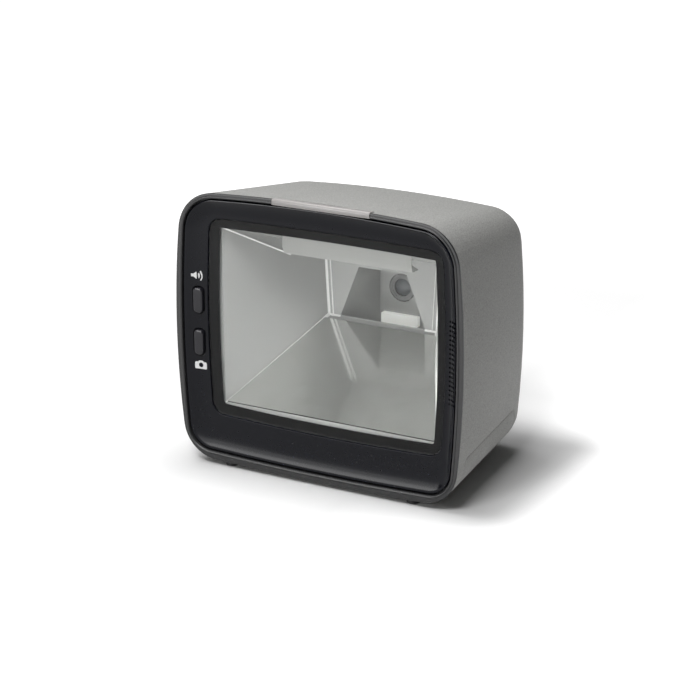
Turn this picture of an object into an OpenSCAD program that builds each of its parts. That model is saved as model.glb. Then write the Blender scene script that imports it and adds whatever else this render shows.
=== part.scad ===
// Upright presentation scanner for a checkout counter: one window, an imager behind it, two buttons.
// Inside the modules y runs back from the housing's front edge and z up from its underside;
// seat() then puts the origin on the counter under the middle of the part, front toward -Y.

/* [Housing] */
// Width of the housing across its front edge, mm
body_w = 152; // [146:1:166]
// Height of the housing at its front edge, mm
body_h = 134.5; // [130:0.5:146]
// Depth from the front edge to the flat of the back, mm
body_d = 95; // [92:1:110]
// Wall thickness of the moulded shell, mm
wall = 2.4; // [2:0.1:2.8]
// How far the middle of each side bows out, mm
side_bow = 5; // [3:0.5:6]
// How far the middle of the top edge stands above its ends, mm
top_crown = 3.4; // [2:0.1:4]
// How far the middle of the bottom edge hangs below its ends, mm
base_crown = 1.9; // [1:0.1:2.5]
// Radius of the upper corners at the front, mm
corner_top_r = 20.6; // [17:0.2:24]
// Radius of the lower corners at the front, mm
corner_base_r = 17.8; // [16:0.2:20]
// Radius of the upper corners at the back, mm
corner_back_r = 16.7; // [14:0.1:20]
// Lean of the sides toward the back, degrees
side_draft = 5.8; // [5:0.1:7.2]
// Fall of the top toward the back, degrees
top_fall = 8; // [6:0.1:9]
// Rise of the underside toward the back, degrees
base_rise = 2.4; // [1:0.1:3]
// Radius that rolls the sides into the back, mm
back_roll_r = 20; // [14:0.5:22]

/* [Front] */
// How far the black front lip stands out from the housing edge, mm
lip_proud = 0.5; // [0.3:0.1:1]
// Width of the black front lip, mm
lip_w = 1.3; // [1.2:0.1:1.8]
// Width of the dark groove between lip and bezel, mm
groove_w = 0.6; // [0.5:0.1:0.8]
// Width of the dull rim that shows outside the lip at mid height, mm
rim_w = 2.1; // [1.8:0.05:2.5]
// Height of the dull rim that shows above the lip, mm
rim_top = 1.25; // [1:0.05:1.5]
// Depth of the bezel's hollow from its crest to the window, mm
dish = 2.2; // [1.8:0.1:2.6]

/* [Window] */
// From the housing side to the clear window, mm
side_band = 18.2; // [17:0.1:22]
// From the housing underside to the clear window, mm
chin_h = 27.2; // [25:0.1:32]
// From the housing top to the clear window, mm
brow_h = 18.45; // [17.5:0.05:22]
// Width of the black border printed round the clear window, mm
mask_w = 4.7; // [4:0.1:5.5]
// Thickness of the window glass, mm
glass_t = 2.5; // [2:0.1:2.6]
// Sideways offset of window and camera from the housing's centre, mm
optics_x = 3; // [0:0.1:3.2]

/* [Buttons] */
// Width of each button, mm
button_w = 5; // [4.6:0.1:5.4]
// Length of each button, mm
button_l = 12.4; // [10:0.2:13]
// Corner radius of each button, mm
button_r = 1.9; // [1.4:0.1:2.2]
// Height of the upper button's centre above the housing underside, mm
button_z = 79.3; // [76:0.1:84]
// Distance between the two button centres, mm
button_pitch = 20.8; // [18:0.1:22]
// Press travel of a button, mm
button_travel = 0.6; // [0.4:0.1:0.7]

/* [Grille] */
// Number of holes in each upright row of the grille
grille_n = 19; // [15:1:21]
// Upright pitch of the grille holes, mm
grille_pitch = 2.15; // [1.9:0.05:2.2]
// Radius of a grille hole, mm
grille_r = 0.45; // [0.35:0.05:0.5]

/* [Light bar] */
// Length of the status light bar, mm
light_l = 50.6; // [40:0.2:56]
// Height of the light bar's front face, mm
light_h = 3; // [2.6:0.1:3]
// Sideways offset of the light bar from the housing's centre, mm
light_x = 3.4; // [0:0.1:4]

/* [Optics] */
// Depth of the optics tub's rear wall behind the housing edge, mm
tub_rear_y = 60; // [56:1:61]
// Height of the lens above the housing underside, mm
lens_z = 74.6; // [72:0.2:77]
// Radius of the lens barrel, mm
barrel_r = 5.4; // [4.8:0.1:5.6]
// Wall thickness of the optics tub, mm
tub_wall = 2; // [1.6:0.1:2.2]

/* [Base and sockets] */
// Height of the rubber feet, mm
foot_h = 1.5; // [1:0.1:3]
// Height of the base cover's side flanges, mm
flange_h = 22; // [20:0.5:23]
// Spacing of the threaded mounts across the base, mm
mount_x = 50; // [46:1:60]
// Spacing of the threaded mounts from front to back, mm
mount_y = 40; // [36:1:42]
// Bore radius of the M4 threaded inserts, mm
mount_r = 2; // [1.5:0.05:2.5]
// Width of the cable bay in the back, mm
bay_w = 54; // [52:1:60]
// Height of the main board above the housing underside, mm
board_z = 9; // [8.8:0.1:10]

/* [Hidden] */
$fn = 40;
n_edge = 4;
n_corner = 8;
n_side = 8;
e = 0.02;
gap = 0.15;
front_y = -(body_d - lip_proud) / 2;
hw = body_w / 2;
k_side = tan(side_draft);
k_top = tan(top_fall);
k_base = tan(base_rise);
side_r = (side_bow * side_bow + body_h * body_h / 4) / (2 * side_bow);
top_r = (top_crown * top_crown + body_w * body_w / 4) / (2 * top_crown);
base_r = (base_crown * base_crown + body_w * body_w / 4) / (2 * base_crown);
roll_y = body_d - back_roll_r * (1 - sin(side_draft));
pcb_t = 1.6;
// depth levels of the front stack
land_y = 3;
rim_y = 4.5;
rim_t = 1.2;
pocket_y = 5;
glass_y = 3.2;
mask_y = glass_y + glass_t;
ledge_y = mask_y + 0.6;
web_y = ledge_y + 1.7;
crest_y = 0.45;
// front outlines
ring_r = 600;
ring_zw = body_h / 2 + 1;
ring_z0 = 2.8;
bezel_in = lip_w + groove_w;
crest_in = bezel_in + 0.7;
step_in = 6;
win_w = body_w - 2 * side_band;
win_z1 = body_h - brow_h;
// buttons, grille and light bar
button_x = -(hw - rim_w) + 9.4;
button_zs = [button_z, button_z - button_pitch];
button_in = pocket_y + 0.3;
flange_t = 1.2;
key_gap = 0.65;
switch_y = button_in + flange_t + 4;
btn_board_y = switch_y + 3.6;
grille_z = 69.7;
grille_xs = [for (x = [5.65, 4.2, 2.95]) hw - rim_w - x];
grille_slot = [grille_xs[0] - 1.2, grille_xs[2] + 0.6];
grille_l = grille_pitch * (grille_n - 1);
light_y1 = 4.4;
guide_z0 = body_h - 6;
light_x0 = light_x - light_l / 2;
light_x1 = light_x + light_l / 2;
// optics tub
tub_y = web_y;
mouth_w = win_w / 2 - 0.6;
mouth_z0 = chin_h + 0.6;
mouth_z1 = win_z1 - 0.45;
rear_w = mouth_w - 27.8;
rear_z0 = mouth_z0 + 34.4;
knee_y = 41;
knee_z = mouth_z1 - 19.6;
mouth_y = tub_y - 1;
knee_w = mouth_w - 27.8 * (knee_y - mouth_y) / (tub_rear_y - mouth_y);
ceil_k = (mouth_z1 - knee_z) / (knee_y - mouth_y);
floor_a = atan2(rear_z0 - mouth_z0, tub_rear_y - mouth_y);
hood_y = 25.5;
hood_w = 34.2;
hood_z = mouth_z1 - 14.6;
nook_y = body_d - 15;
nook_w = 12;
nook_z0 = lens_z - 20;
nook_z1 = lens_z + 7.4;
plate_w = 19;
cam_y = nook_y + 6.4;
cam_holes = [for (x = [-15, 15], z = [-8, 12]) [optics_x + x, lens_z + z]];
holder_w = 15;
lens_y = nook_y + 2.2;
lug_x = win_w / 2 - 13.8;
lug_z = [win_z1 + 8.4, chin_h - 9];
// frame screws and posts
boss_y = web_y + 5;
boss_at = [for (s = [-1, 1]) each [[s * (hw - 16.3), body_h - 12.3, boss_y + 8],
  [s * (hw - 9.2), chin_h + 4.8, boss_y + 12]]];
// speaker
spk_y = web_y + 5;
spk_x0 = hw - 16.4;
spk_x1 = hw - 5.7;
spk_z0 = grille_z - 26;
spk_z1 = grille_z + 26;
spk_screw_x = hw - 10.6;
spk_screw_z = [grille_z - 23.6, grille_z + 23.6];
// base
base_y0 = 9.5;
bay_y = body_d - 16;
base_y1 = bay_y - 2.8;
base_gap = 0.2;
bay_z = 26;
base_screws_at = [for (s = [-1, 1], y = [base_y0 + 12.5, base_y1 - 10.2]) [s * (hw - 22), y]];
base_boss_z = 9.5;
rib_z = 26;
board_w = body_w - 58;
board_x = board_w / 2;
board_y0 = base_y0 + 4.5;
board_y1 = base_y1 - 4.2;
board_top = board_z + pcb_t;
board_screws_at = [for (sx = [-1, 1], y = [board_y0 + 13, board_y1 - 5.5]) [sx * (board_x - 5), y]];
mount_y0 = (base_y0 + base_y1 - mount_y) / 2 + 1.15;
mounts_at = [for (sx = [-1, 1], y = [mount_y0, mount_y0 + mount_y]) [sx * mount_x / 2, y]];
pad_z = 0.3;
insert_r = mount_r + 0.9;
feet_front = [for (s = [-1, 1]) [s * (hw - 27), 5.2]];
feet_rear = [for (s = [-1, 1]) [s * (hw - 32), base_y1 - 6.2]];
host_x = -15;
host_w = 15;
host_h = 13.4;
host_d = 16;
aux_x = 3;
jack_x = 18.5;
socket_y = bay_y - wall - 0.2;
leads_z = board_top + 3.2;
lead_x = board_x - 4;
lead_y = btn_board_y + pcb_t;
roll_n = 6;
flex_t = 1.6;
flex_y = board_y0 + 36.2;
chip_y = board_y0 + 21;
back_top_r = 720;

// Outline made of four bowed edges and two kinds of corner:
// [half width, height of widest point, bottom, top, side radius, top radius, bottom radius, corners]
function inset(s, t, least = 0.4) = [s[0] - t, s[1], s[2] + t, s[3] - t, s[4] - t, s[5] - t, s[6] - t,
  max(s[7] - t, least), max(s[8] - t, least)];
function meet(c, r, d, q, up) = let (l = norm(d - c), u = (d - c) / l, a = (r * r - q * q + l * l) / (2 * l),
  h = sqrt(r * r - a * a)) c + a * u + (up ? h : -h) * [-u[1], u[0]];
function ang(v) = atan2(v[1], v[0]);
function arc(c, r, a, b, n, skip = 0) = [for (i = [skip:n]) let (t = a + (b - a) * i / n) c + r * [cos(t), sin(t)]];
function half_loop(s) = let (cs = [s[0] - s[4], s[1]], ct = [0, s[3] - s[5]], cb = [0, s[2] + s[6]],
  ft = meet(cs, s[4] - s[7], ct, s[5] - s[7], true), fb = meet(cs, s[4] - s[8], cb, s[6] - s[8], false))
  concat(arc(ct, s[5], 90, ang(ft - ct), n_edge), arc(ft, s[7], ang(ft - ct), ang(ft - cs), n_corner, 1),
    arc(cs, s[4], ang(ft - cs), ang(fb - cs), n_side, 1), arc(fb, s[8], ang(fb - cs), ang(fb - cb), n_corner, 1),
    arc(cb, s[6], ang(fb - cb), -90, n_edge, 1));
function loop(s) = let (h = half_loop(s), n = len(h)) concat(h, [for (i = [n - 2:-1:1]) [-h[i][0], h[i][1]]]);
function ring(s, y, cx = 0) = [for (p = loop(s)) [p[0] + cx, y, p[1]]];
function mix(a, b, u) = a * (1 - u) + b * u;
function blend(a, b, u, y) = [for (j = [0:len(a) - 1]) [mix(a[j][0], b[j][0], u), y, mix(a[j][2], b[j][2], u)]];
function quad(i, k, j, n) = let (a = i * n + j, b = i * n + (j + 1) % n, c = k * n + (j + 1) % n, d = k * n + j)
  [[a, d, c], [a, c, b]];

// Outlines of the housing, of the black ring and of the window at their own depths
function body_at(y) = let (z0 = y * k_base, z1 = body_h - y * k_top) [hw - y * k_side, (z0 + z1) / 2, z0, z1,
  side_r, crown_r(y / body_d), base_r, corner_top_r + (corner_back_r - corner_top_r) * y / body_d, corner_base_r];
function crown_r(u) = 1 / ((1 - u) / top_r + u / back_top_r);
function ring_at(y) = let (z1 = body_h - rim_top - max(y, 0) * k_top) [hw - rim_w, ring_zw, ring_z0, z1,
  ring_r, top_r, base_r, corner_top_r - 1.6, corner_base_r - 4];
clear_s = [win_w / 2, (chin_h + win_z1) / 2, chin_h, win_z1, 630, 1960, 1240, 0.8, 1.6];
panel_s = [clear_s[0] + mask_w, clear_s[1], chin_h - mask_w, win_z1 + mask_w, 630, 1960, 1240, 6.6, 6.6];
function ceil_z(y) = mouth_z1 - ceil_k * (y - mouth_y) - 0.06;
function skirt_at(y) = inset(body_at(y), wall + 0.25);

// Frame skinned round a closed row of rings
module hoop(rows) {
  n = len(rows[0]);
  m = len(rows);
  polyhedron([for (r = rows) each r], [for (i = [0:m - 1], j = [0:n - 1]) each quad(i, (i + 1) % m, j, n)],
    convexity = 8);
}

// Plate of a given outline between two depths, and a round rod along the depth
module slab(s, y0, y1, cx = 0) translate([cx, y1, 0]) rotate([90, 0, 0]) linear_extrude(y1 - y0) polygon(loop(s));
module rod_y(x, z, y0, y1, r) translate([x, y1, z]) rotate([90, 0, 0]) cylinder(h = y1 - y0, r = r);
module rod_z(x, y, z0, z1, r) translate([x, y, z0]) cylinder(h = z1 - z0, r = r);
module block(x0, x1, y0, y1, z0, z1) translate([x0, y0, z0]) cube([x1 - x0, y1 - y0, z1 - z0]);

// Prism of a y-z profile across a width, and an upright plate with rounded corners
module prism(x0, x1, pts) translate([x0, 0, 0]) rotate([90, 0, 90]) linear_extrude(x1 - x0) polygon(pts);
module pad(x, z, y0, y1, w, l, r) {
  block(x - w / 2, x + w / 2, y0, y1, z - l / 2 + r, z + l / 2 - r);
  block(x - w / 2 + r, x + w / 2 - r, y0, y1, z - l / 2, z + l / 2);
  for (sx = [-1, 1], sz = [-1, 1]) rod_y(x + sx * (w / 2 - r), z + sz * (l / 2 - r), y0, y1, r);
}

// The same plate at a button, larger or smaller all round by t
module key(z, y0, y1, t = 0) pad(button_x, z, y0, y1, button_w + 2 * t, button_l + 2 * t, button_r + t);

// Flat ribbon of leads: an x-z path of a given thickness, a few wires wide along the depth
module ribbon(pts, t, y0, y1) translate([0, y1, 0]) rotate([90, 0, 0]) linear_extrude(y1 - y0)
  polygon(concat(pts, [for (i = [len(pts) - 1:-1:0]) pts[i] + t]));

// Pan-head screws: along the depth with the head at y, toward sign s, or upright with the head at z
module screw_y(x, z, y, s, shank, len, head) {
  rod_y(x, z, min(y, y + s * len), max(y, y + s * len), shank);
  rod_y(x, z, min(y, y - s * head * 0.6), max(y, y - s * head * 0.6), head);
}

module screw_z(x, y, z, s, shank, len, head) {
  rod_z(x, y, min(z, z + s * len), max(z, z + s * len), shank);
  rod_z(x, y, min(z, z - s * head * 0.6), max(z, z - s * head * 0.6), head);
}

module seat() translate([0, front_y, foot_h]) children();

function body_rows(t) = let (r = back_roll_r - t) concat(
  [ring(inset(body_at(0), t), 0), ring(inset(body_at(roll_y), t), roll_y)],
  [for (i = [1:roll_n]) let (a = side_draft + (90 - side_draft) * i / roll_n)
    ring(inset(body_at(roll_y), t + r * (cos(side_draft) - cos(a)), 7), roll_y + r * (sin(a) - sin(side_draft)))]);

// Hollow shell open to the front, as one skin: outside to the back, then inside to the front
module shell() {
  outer = body_rows(0);
  inner = body_rows(wall);
  n = len(outer[0]);
  m = len(outer);
  rows = concat(outer, [for (i = [m - 1:-1:0]) inner[i]]);
  caps = [[for (j = [n - 1:-1:0]) (m - 1) * n + j], [for (j = [0:n - 1]) m * n + j]];
  skin = [for (i = [0:2 * m - 1], j = [0:n - 1]) if (i != m - 1) each quad(i, (i + 1) % (2 * m), j, n)];
  polyhedron([for (r = rows) each r], concat(caps, skin), convexity = 8);
}

// Side profile of the base cover; the opening in the housing is larger by the seam gap
module base_block(g = 0) {
  z_f = flange_h - g;
  prism(-body_w, body_w, concat([[base_y0 + g, -9], [base_y0 + g, z_f - 3]],
    [for (a = [150:-20:90]) [base_y0 + g + 4 + 4 * cos(a), z_f - 4 + 4 * sin(a) + 4 * k_base]],
    [[base_y1 - g - 3, z_f + (base_y1 - base_y0) * k_base], [base_y1 - g, z_f - 2], [base_y1 - g, -9]]));
}

function bay_side() = let (t = wall / 2, r = back_roll_r - t) concat([[bay_y - wall, bay_y * k_base + t]],
  [for (i = [0:4]) let (a = side_draft + 6 + (84 - side_draft) * i / 4)
    [roll_y + r * (sin(a) - sin(side_draft)), roll_y * k_base + t + r * (cos(side_draft) - cos(a))]],
  [[body_d - t, bay_z + wall], [bay_y - wall, bay_z + wall]]);

module rear_housing() color("#8c8c88") difference() {
  union() {
    shell();
    for (p = boss_at) rod_y(p[0], p[1], boss_y, p[2], 4.2);
    for (p = base_screws_at) let (w = hw - p[1] * k_side - side_bow * 0.28 - wall / 2) {
      rod_z(p[0], p[1], base_boss_z, rib_z + 5, 4);
      block(min(p[0], sign(p[0]) * w), max(p[0], sign(p[0]) * w), p[1] - 1.5, p[1] + 1.5, rib_z, rib_z + 5);
    }
    block(-bay_w / 2 - wall, bay_w / 2 + wall, bay_y - wall, bay_y + e, bay_y * k_base + wall / 2, bay_z + wall);
    block(-bay_w / 2 - wall, bay_w / 2 + wall, bay_y, body_d - wall / 2, bay_z, bay_z + wall);
    for (x = [-bay_w / 2 - wall, bay_w / 2]) prism(x, x + wall, bay_side());
  }
  slab(inset(ring_at(0), -gap), -3, rim_y);
  block(-hw - 1, hw + 1, -3, rim_t + gap, -3, body_h + 3);
  block(light_x0 - gap, light_x1 + gap, -3, light_y1 + gap, body_h - 12, body_h + 3);
  base_block();
  block(-bay_w / 2, bay_w / 2, bay_y, body_d + 1, -1, bay_z);
  for (p = boss_at) rod_y(p[0], p[1], boss_y - 1, boss_y + 9, 1.25);
  for (p = base_screws_at) rod_z(p[0], p[1], base_boss_z - 1, base_boss_z + 10, 1.25);
  for (p = feet_front) rod_z(p[0], p[1], -3, p[1] * k_base + 1, 3.3);
  block(host_x - 6.2, host_x + 6.2, bay_y - wall - 1, bay_y + 1, board_top + 2.4, board_top + 11.2);
  block(aux_x - 6.9, aux_x + 6.9, bay_y - wall - 1, bay_y + 1, board_top + 0.3, board_top + 6.7);
  rod_y(jack_x, board_top + 5.5, bay_y - wall - 1, bay_y + 1, 3.6);
}

module base_cover() color("#858581") difference() {
  union() {
    intersection() {
      shell();
      base_block(base_gap);
    }
    for (p = base_screws_at) rod_z(p[0], p[1], p[1] * k_base + base_crown + 1.4, base_boss_z - 0.1, 4.6);
    for (p = board_screws_at) rod_z(p[0], p[1], p[1] * k_base + 1.6, board_z, 3);
    for (p = mounts_at) rod_z(p[0], p[1], pad_z, board_z - 0.6, 6);
  }
  for (p = base_screws_at) {
    rod_z(p[0], p[1], -3, base_boss_z - 2.2, 3);
    rod_z(p[0], p[1], base_boss_z - 3, base_boss_z + 1, 1.6);
  }
  for (p = board_screws_at) rod_z(p[0], p[1], board_z - 5, board_z + 1, 0.95);
  for (p = mounts_at) rod_z(p[0], p[1], -1, board_z - 1.2, insert_r + e);
  for (p = feet_rear) rod_z(p[0], p[1], -3, p[1] * k_base + 1, 5.1);
}

module front_feet() color("#26262a") for (p = feet_front) {
  rod_z(p[0], p[1], -foot_h, p[1] * k_base + 1, 3.2);
}

module rear_feet() color("#26262a") for (p = feet_rear) {
  rod_z(p[0], p[1], -foot_h, p[1] * k_base + 1, 5);
}

module mount_inserts() color("#b08d4c") for (p = mounts_at) difference() {
  rod_z(p[0], p[1], pad_z, board_z - 1.2, insert_r);
  rod_z(p[0], p[1], -1, board_z, mount_r);
}

module base_screws() color("#9a9ca0") for (p = base_screws_at) {
  screw_z(p[0], p[1], base_boss_z - 2.2, 1, 1.2, 11, 2.7);
}

// Black front frame: a rolled lip with a rim outside it that covers the housing's edge,
// a groove, a land for the bezel and a ledge for the window
module front_frame() color("#202124") difference() {
  union() {
    hoop([ring(inset(ring_at(0), lip_w * 0.45), -lip_proud), ring(inset(ring_at(0), lip_w * 0.15), -lip_proud * 0.6),
      ring(ring_at(0), 0.1), ring(inset(body_at(0), 0.5), 0.1), ring(inset(body_at(0.2), 0.12), 0.2),
      ring(body_at(0.5), 0.5), ring(body_at(rim_t), rim_t), ring(ring_at(rim_t), rim_t),
      ring(ring_at(rim_y - 0.1), rim_y - 0.1), ring(skirt_at(rim_y - 0.1), rim_y - 0.1),
      ring(skirt_at(web_y), web_y), ring(inset(clear_s, -1.2), web_y, optics_x),
      ring(inset(clear_s, -1.2), ledge_y, optics_x), ring(inset(panel_s, -0.25), ledge_y, optics_x),
      ring(inset(panel_s, -0.25), pocket_y, optics_x), ring(inset(ring_at(0), step_in + 0.1), pocket_y),
      ring(inset(ring_at(0), step_in - 0.1), land_y), ring(inset(ring_at(0), lip_w + 0.1), land_y),
      ring(inset(ring_at(0), lip_w), 0.4), ring(inset(ring_at(0), lip_w * 0.8), -lip_proud * 0.7)]);
    for (p = boss_at) rod_y(p[0], p[1], web_y - 0.5, boss_y, 3.5);
    for (z = button_post_z()) rod_y(button_x, z, web_y - 0.5, btn_board_y, 2.4);
    for (z = spk_screw_z) rod_y(spk_screw_x, z, web_y - 0.5, spk_y, 2.4);
  }
  for (p = boss_at) {
    rod_y(p[0], p[1], land_y - 1, boss_y - 2, 2.8);
    rod_y(p[0], p[1], land_y, boss_y + 1, 1.6);
  }
  for (z = button_zs) key(z, land_y - 1, web_y + 1, key_gap + 1.1);
  for (z = button_post_z()) rod_y(button_x, z, btn_board_y - 5, btn_board_y + 1, 0.85);
  for (z = spk_screw_z) rod_y(spk_screw_x, z, spk_y - 4, spk_y + 1, 0.85);
  for (x = lug_x * [-1, 1], z = lug_z) rod_y(x, z, pocket_y - 1, web_y + 1, 1);
  block(grille_slot[0], grille_slot[1], land_y - 0.5, web_y + 1, grille_z - grille_l / 2 - 1.4,
    grille_z + grille_l / 2 + 1.4);
  block(light_x0 - gap, light_x1 + gap, -3, light_y1 + gap, body_h - light_h - 0.5, body_h + 3);
  block(light_x0 - gap, light_x1 + gap, land_y, web_y + 1, guide_z0 - gap, body_h + 3);
}

function button_post_z() = [button_z + 12.2, button_z - button_pitch / 2, button_z - button_pitch - 12.2];

module frame_screws() color("#9a9ca0") for (p = boss_at) screw_y(p[0], p[1], boss_y - 2, 1, 1.2, 10, 2.6);

// Hollowed glossy bezel with two button openings and the speaker grille
module bezel() color("#232528") difference() {
  crest = ring(inset(ring_at(0), crest_in), crest_y);
  edge = ring(inset(panel_s, -0.6), crest_y, optics_x);
  hoop(concat([crest, ring(inset(ring_at(0), crest_in - 0.5), crest_y + 0.2),
    ring(inset(ring_at(0), bezel_in), crest_y + 0.7), ring(inset(ring_at(0), bezel_in), land_y - 0.05),
    ring(inset(ring_at(0), step_in + 0.3), land_y - 0.05), ring(inset(ring_at(0), step_in + 0.3), pocket_y),
    ring(inset(panel_s, -0.25), pocket_y, optics_x), ring(inset(panel_s, -0.25), crest_y + dish + 0.2, optics_x)],
    [for (u = [1, 0.82, 0.64, 0.46, 0.28, 0.12]) blend(crest, edge, u, crest_y + dish * (1 - (1 - u) * (1 - u)))]));
  for (z = button_zs) key(z, -2, pocket_y + 1, key_gap);
  for (x = grille_xs, i = [0:grille_n - 1]) rod_y(x, grille_z + (i - (grille_n - 1) / 2) * grille_pitch, -2,
    pocket_y + 1, grille_r, $fn = 16);
}

module window_glass() color("#cfd6d6", 0.35) slab(inset(panel_s, 0.05), glass_y, mask_y, optics_x);

module window_mask() color("#17181a") difference() {
  slab(inset(panel_s, 0.1), mask_y, ledge_y, optics_x);
  slab(clear_s, mask_y - 1, ledge_y + 1, optics_x);
}

// Milky light bar flush with lip and housing, with a light guide down to its board
module light_bar() color("#dcd5d2") {
  z1 = body_h - 0.15;
  z0 = body_h - light_h;
  prism(light_x0, light_x1, concat([[light_y1, z0 + 0.4], [land_y + 0.1, z0 + 0.4], [land_y + 0.1, z0],
    [-lip_proud * 0.9, z0]],
    [for (a = [180:-15:105]) [1.4 - lip_proud * 0.9 + 1.4 * cos(a), z1 - 1.4 + 1.4 * sin(a)]],
    [[light_y1, z1 - light_y1 * k_top]]));
  block(light_x0, light_x1, land_y + 0.15, web_y - 0.4, guide_z0, guide_z0 + 1.8);
  block(light_x0, light_x1, land_y + 0.15, light_y1, guide_z0 + 1, z0 + 1);
}

module light_bar_board() color("#2f6b45") {
  block(light_x0 - 1.7, light_x1 + 1.7, web_y + 0.5, web_y + 0.5 + pcb_t, guide_z0 - 4.6, guide_z0 + 1.6);
}

module light_bar_leds() color("#e9e4c8") for (i = [-2.5:2.5]) {
  block(light_x + i * 8 - 1.6, light_x + i * 8 + 1.6, web_y - 0.35, web_y + 0.5, guide_z0 + 0.2, guide_z0 + 1.5);
}

// Button: a cap through the bezel, a flange that keeps it in and a stem to its switch
module button(z) {
  key(z, crest_y + 1.1, button_in);
  key(z, crest_y + 0.75, crest_y + 1.15, -0.45);
  key(z, button_in, button_in + flange_t, key_gap + 0.7);
  rod_y(button_x, z, button_in + flange_t, switch_y - 0.9, 1.7);
}

module plunger(z) rod_y(button_x, z, switch_y - 0.9, switch_y + 1.4, 1.5);

module volume_button() color("#413f46") button(button_zs[0]);
module capture_button() color("#413f46") button(button_zs[1]);
module volume_plunger() color("#2a2a2c") plunger(button_zs[0]);
module capture_plunger() color("#2a2a2c") plunger(button_zs[1]);

module button_switches() color("#35363a") for (z = button_zs) difference() {
  block(button_x - 3, button_x + 3, switch_y, btn_board_y, z - 3, z + 3);
  rod_y(button_x, z, switch_y - 1, switch_y + 2.4, 1.8);
}

module button_board() color("#2f6b45") difference() {
  block(button_x - 4.9, button_x + 4.9, btn_board_y, btn_board_y + pcb_t, button_z - button_pitch - 15.2,
    button_z + 15.2);
  for (z = button_post_z()) rod_y(button_x, z, btn_board_y - 1, btn_board_y + 3, 1);
}

module button_screws() color("#9a9ca0") for (z = button_post_z()) {
  screw_y(button_x, z, btn_board_y + pcb_t, -1, 0.8, 5, 1.8);
}

module button_leads() color("#3a3a3d") {
  x = button_x + 5.6;
  z = button_z - button_pitch - 11;
  ribbon([[x - 2.6, z], [x, z - 3.4], [x, 25], [-lead_x - 3.2, leads_z + 1], [-lead_x, leads_z]], [0.5, 0.4], lead_y,
    lead_y + 2);
}

module speaker_gasket() color("#303034") difference() {
  block(grille_slot[0] - 1.8, spk_x1 + 0.6, web_y, spk_y, spk_screw_z[0] + 2.6, spk_screw_z[1] - 2.6);
  block(grille_slot[0], spk_x1 - 0.4, web_y - 1, spk_y + 1, spk_screw_z[0] + 4, spk_screw_z[1] - 4);
}

module speaker_basket() color("#3c3c40") difference() {
  block(spk_x0, spk_x1, spk_y, spk_y + 5, spk_z0, spk_z1);
  block(spk_x0 + 1.2, spk_x1 - 1.2, spk_y - 1, spk_y + 4, spk_z0 + 6.4, spk_z1 - 6.4);
  block(spk_x0 + 2.4, spk_x1 - 2.4, spk_y + 3, spk_y + 6, spk_z0 + 10, spk_z1 - 10);
  for (z = spk_screw_z) rod_y(spk_screw_x, z, spk_y - 1, spk_y + 6, 1);
}

module speaker_cone() color("#1d1d20") {
  block(spk_x0 + 1.3, spk_x1 - 1.3, spk_y + 3.6, spk_y + 3.95, spk_z0 + 6.5, spk_z1 - 6.5);
  pad((spk_x0 + spk_x1) / 2, grille_z, spk_y + 2.6, spk_y + 3.7, spk_x1 - spk_x0 - 4.6, spk_z1 - spk_z0 - 20, 2.6);
}

module speaker_magnet() color("#8f9298") {
  block(spk_x0 + 1.4, spk_x1 - 1.4, spk_y + 5, spk_y + 8.6, spk_z0 + 8, spk_z1 - 8);
}

module speaker_screws() color("#9a9ca0") for (z = spk_screw_z) screw_y(spk_screw_x, z, spk_y + 5, -1, 0.8, 8, 1.8);

module speaker_leads() color("#7a2f2c") {
  x = spk_x0 - 0.9;
  ribbon([[spk_x0, spk_z0 + 4], [x, spk_z0 + 2], [x, 25], [lead_x + 3.2, leads_z + 1], [lead_x, leads_z]],
    [-0.5, 0.4], lead_y, lead_y + 2);
}

// Optics tub: a tapered light box with a notch for the hood and a deeper nook for the camera
module tub_hull(t) translate([optics_x, 0, 0]) hull() {
  for (s = [-1, 1]) {
    translate([s * (mouth_w + t), mouth_y, mouth_z0 - t]) cube(e, center = true);
    translate([s * (mouth_w + t), mouth_y, mouth_z1 + t]) cube(e, center = true);
    translate([s * (knee_w + t), knee_y + t / 2, knee_z + t]) cube(e, center = true);
    translate([s * (rear_w + t), tub_rear_y + t, rear_z0 - t]) cube(e, center = true);
    translate([s * (rear_w + 2 + t), tub_rear_y + t, knee_z + t]) cube(e, center = true);
  }
}

module nook_hull(t) translate([optics_x, 0, 0]) hull() {
  for (s = [-1, 1]) {
    translate([s * (rear_w - 6.4 + t), tub_rear_y - 0.5 + t, rear_z0 + 0.8 - t]) cube(e, center = true);
    translate([s * (rear_w - 16.4 + t), tub_rear_y - 0.5 + t, lens_z + 14 + t]) cube(e, center = true);
    for (z = [nook_z0 - t, nook_z1 + t]) translate([s * (nook_w + t), nook_y + sign(t), z]) cube(e, center = true);
  }
}

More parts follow.
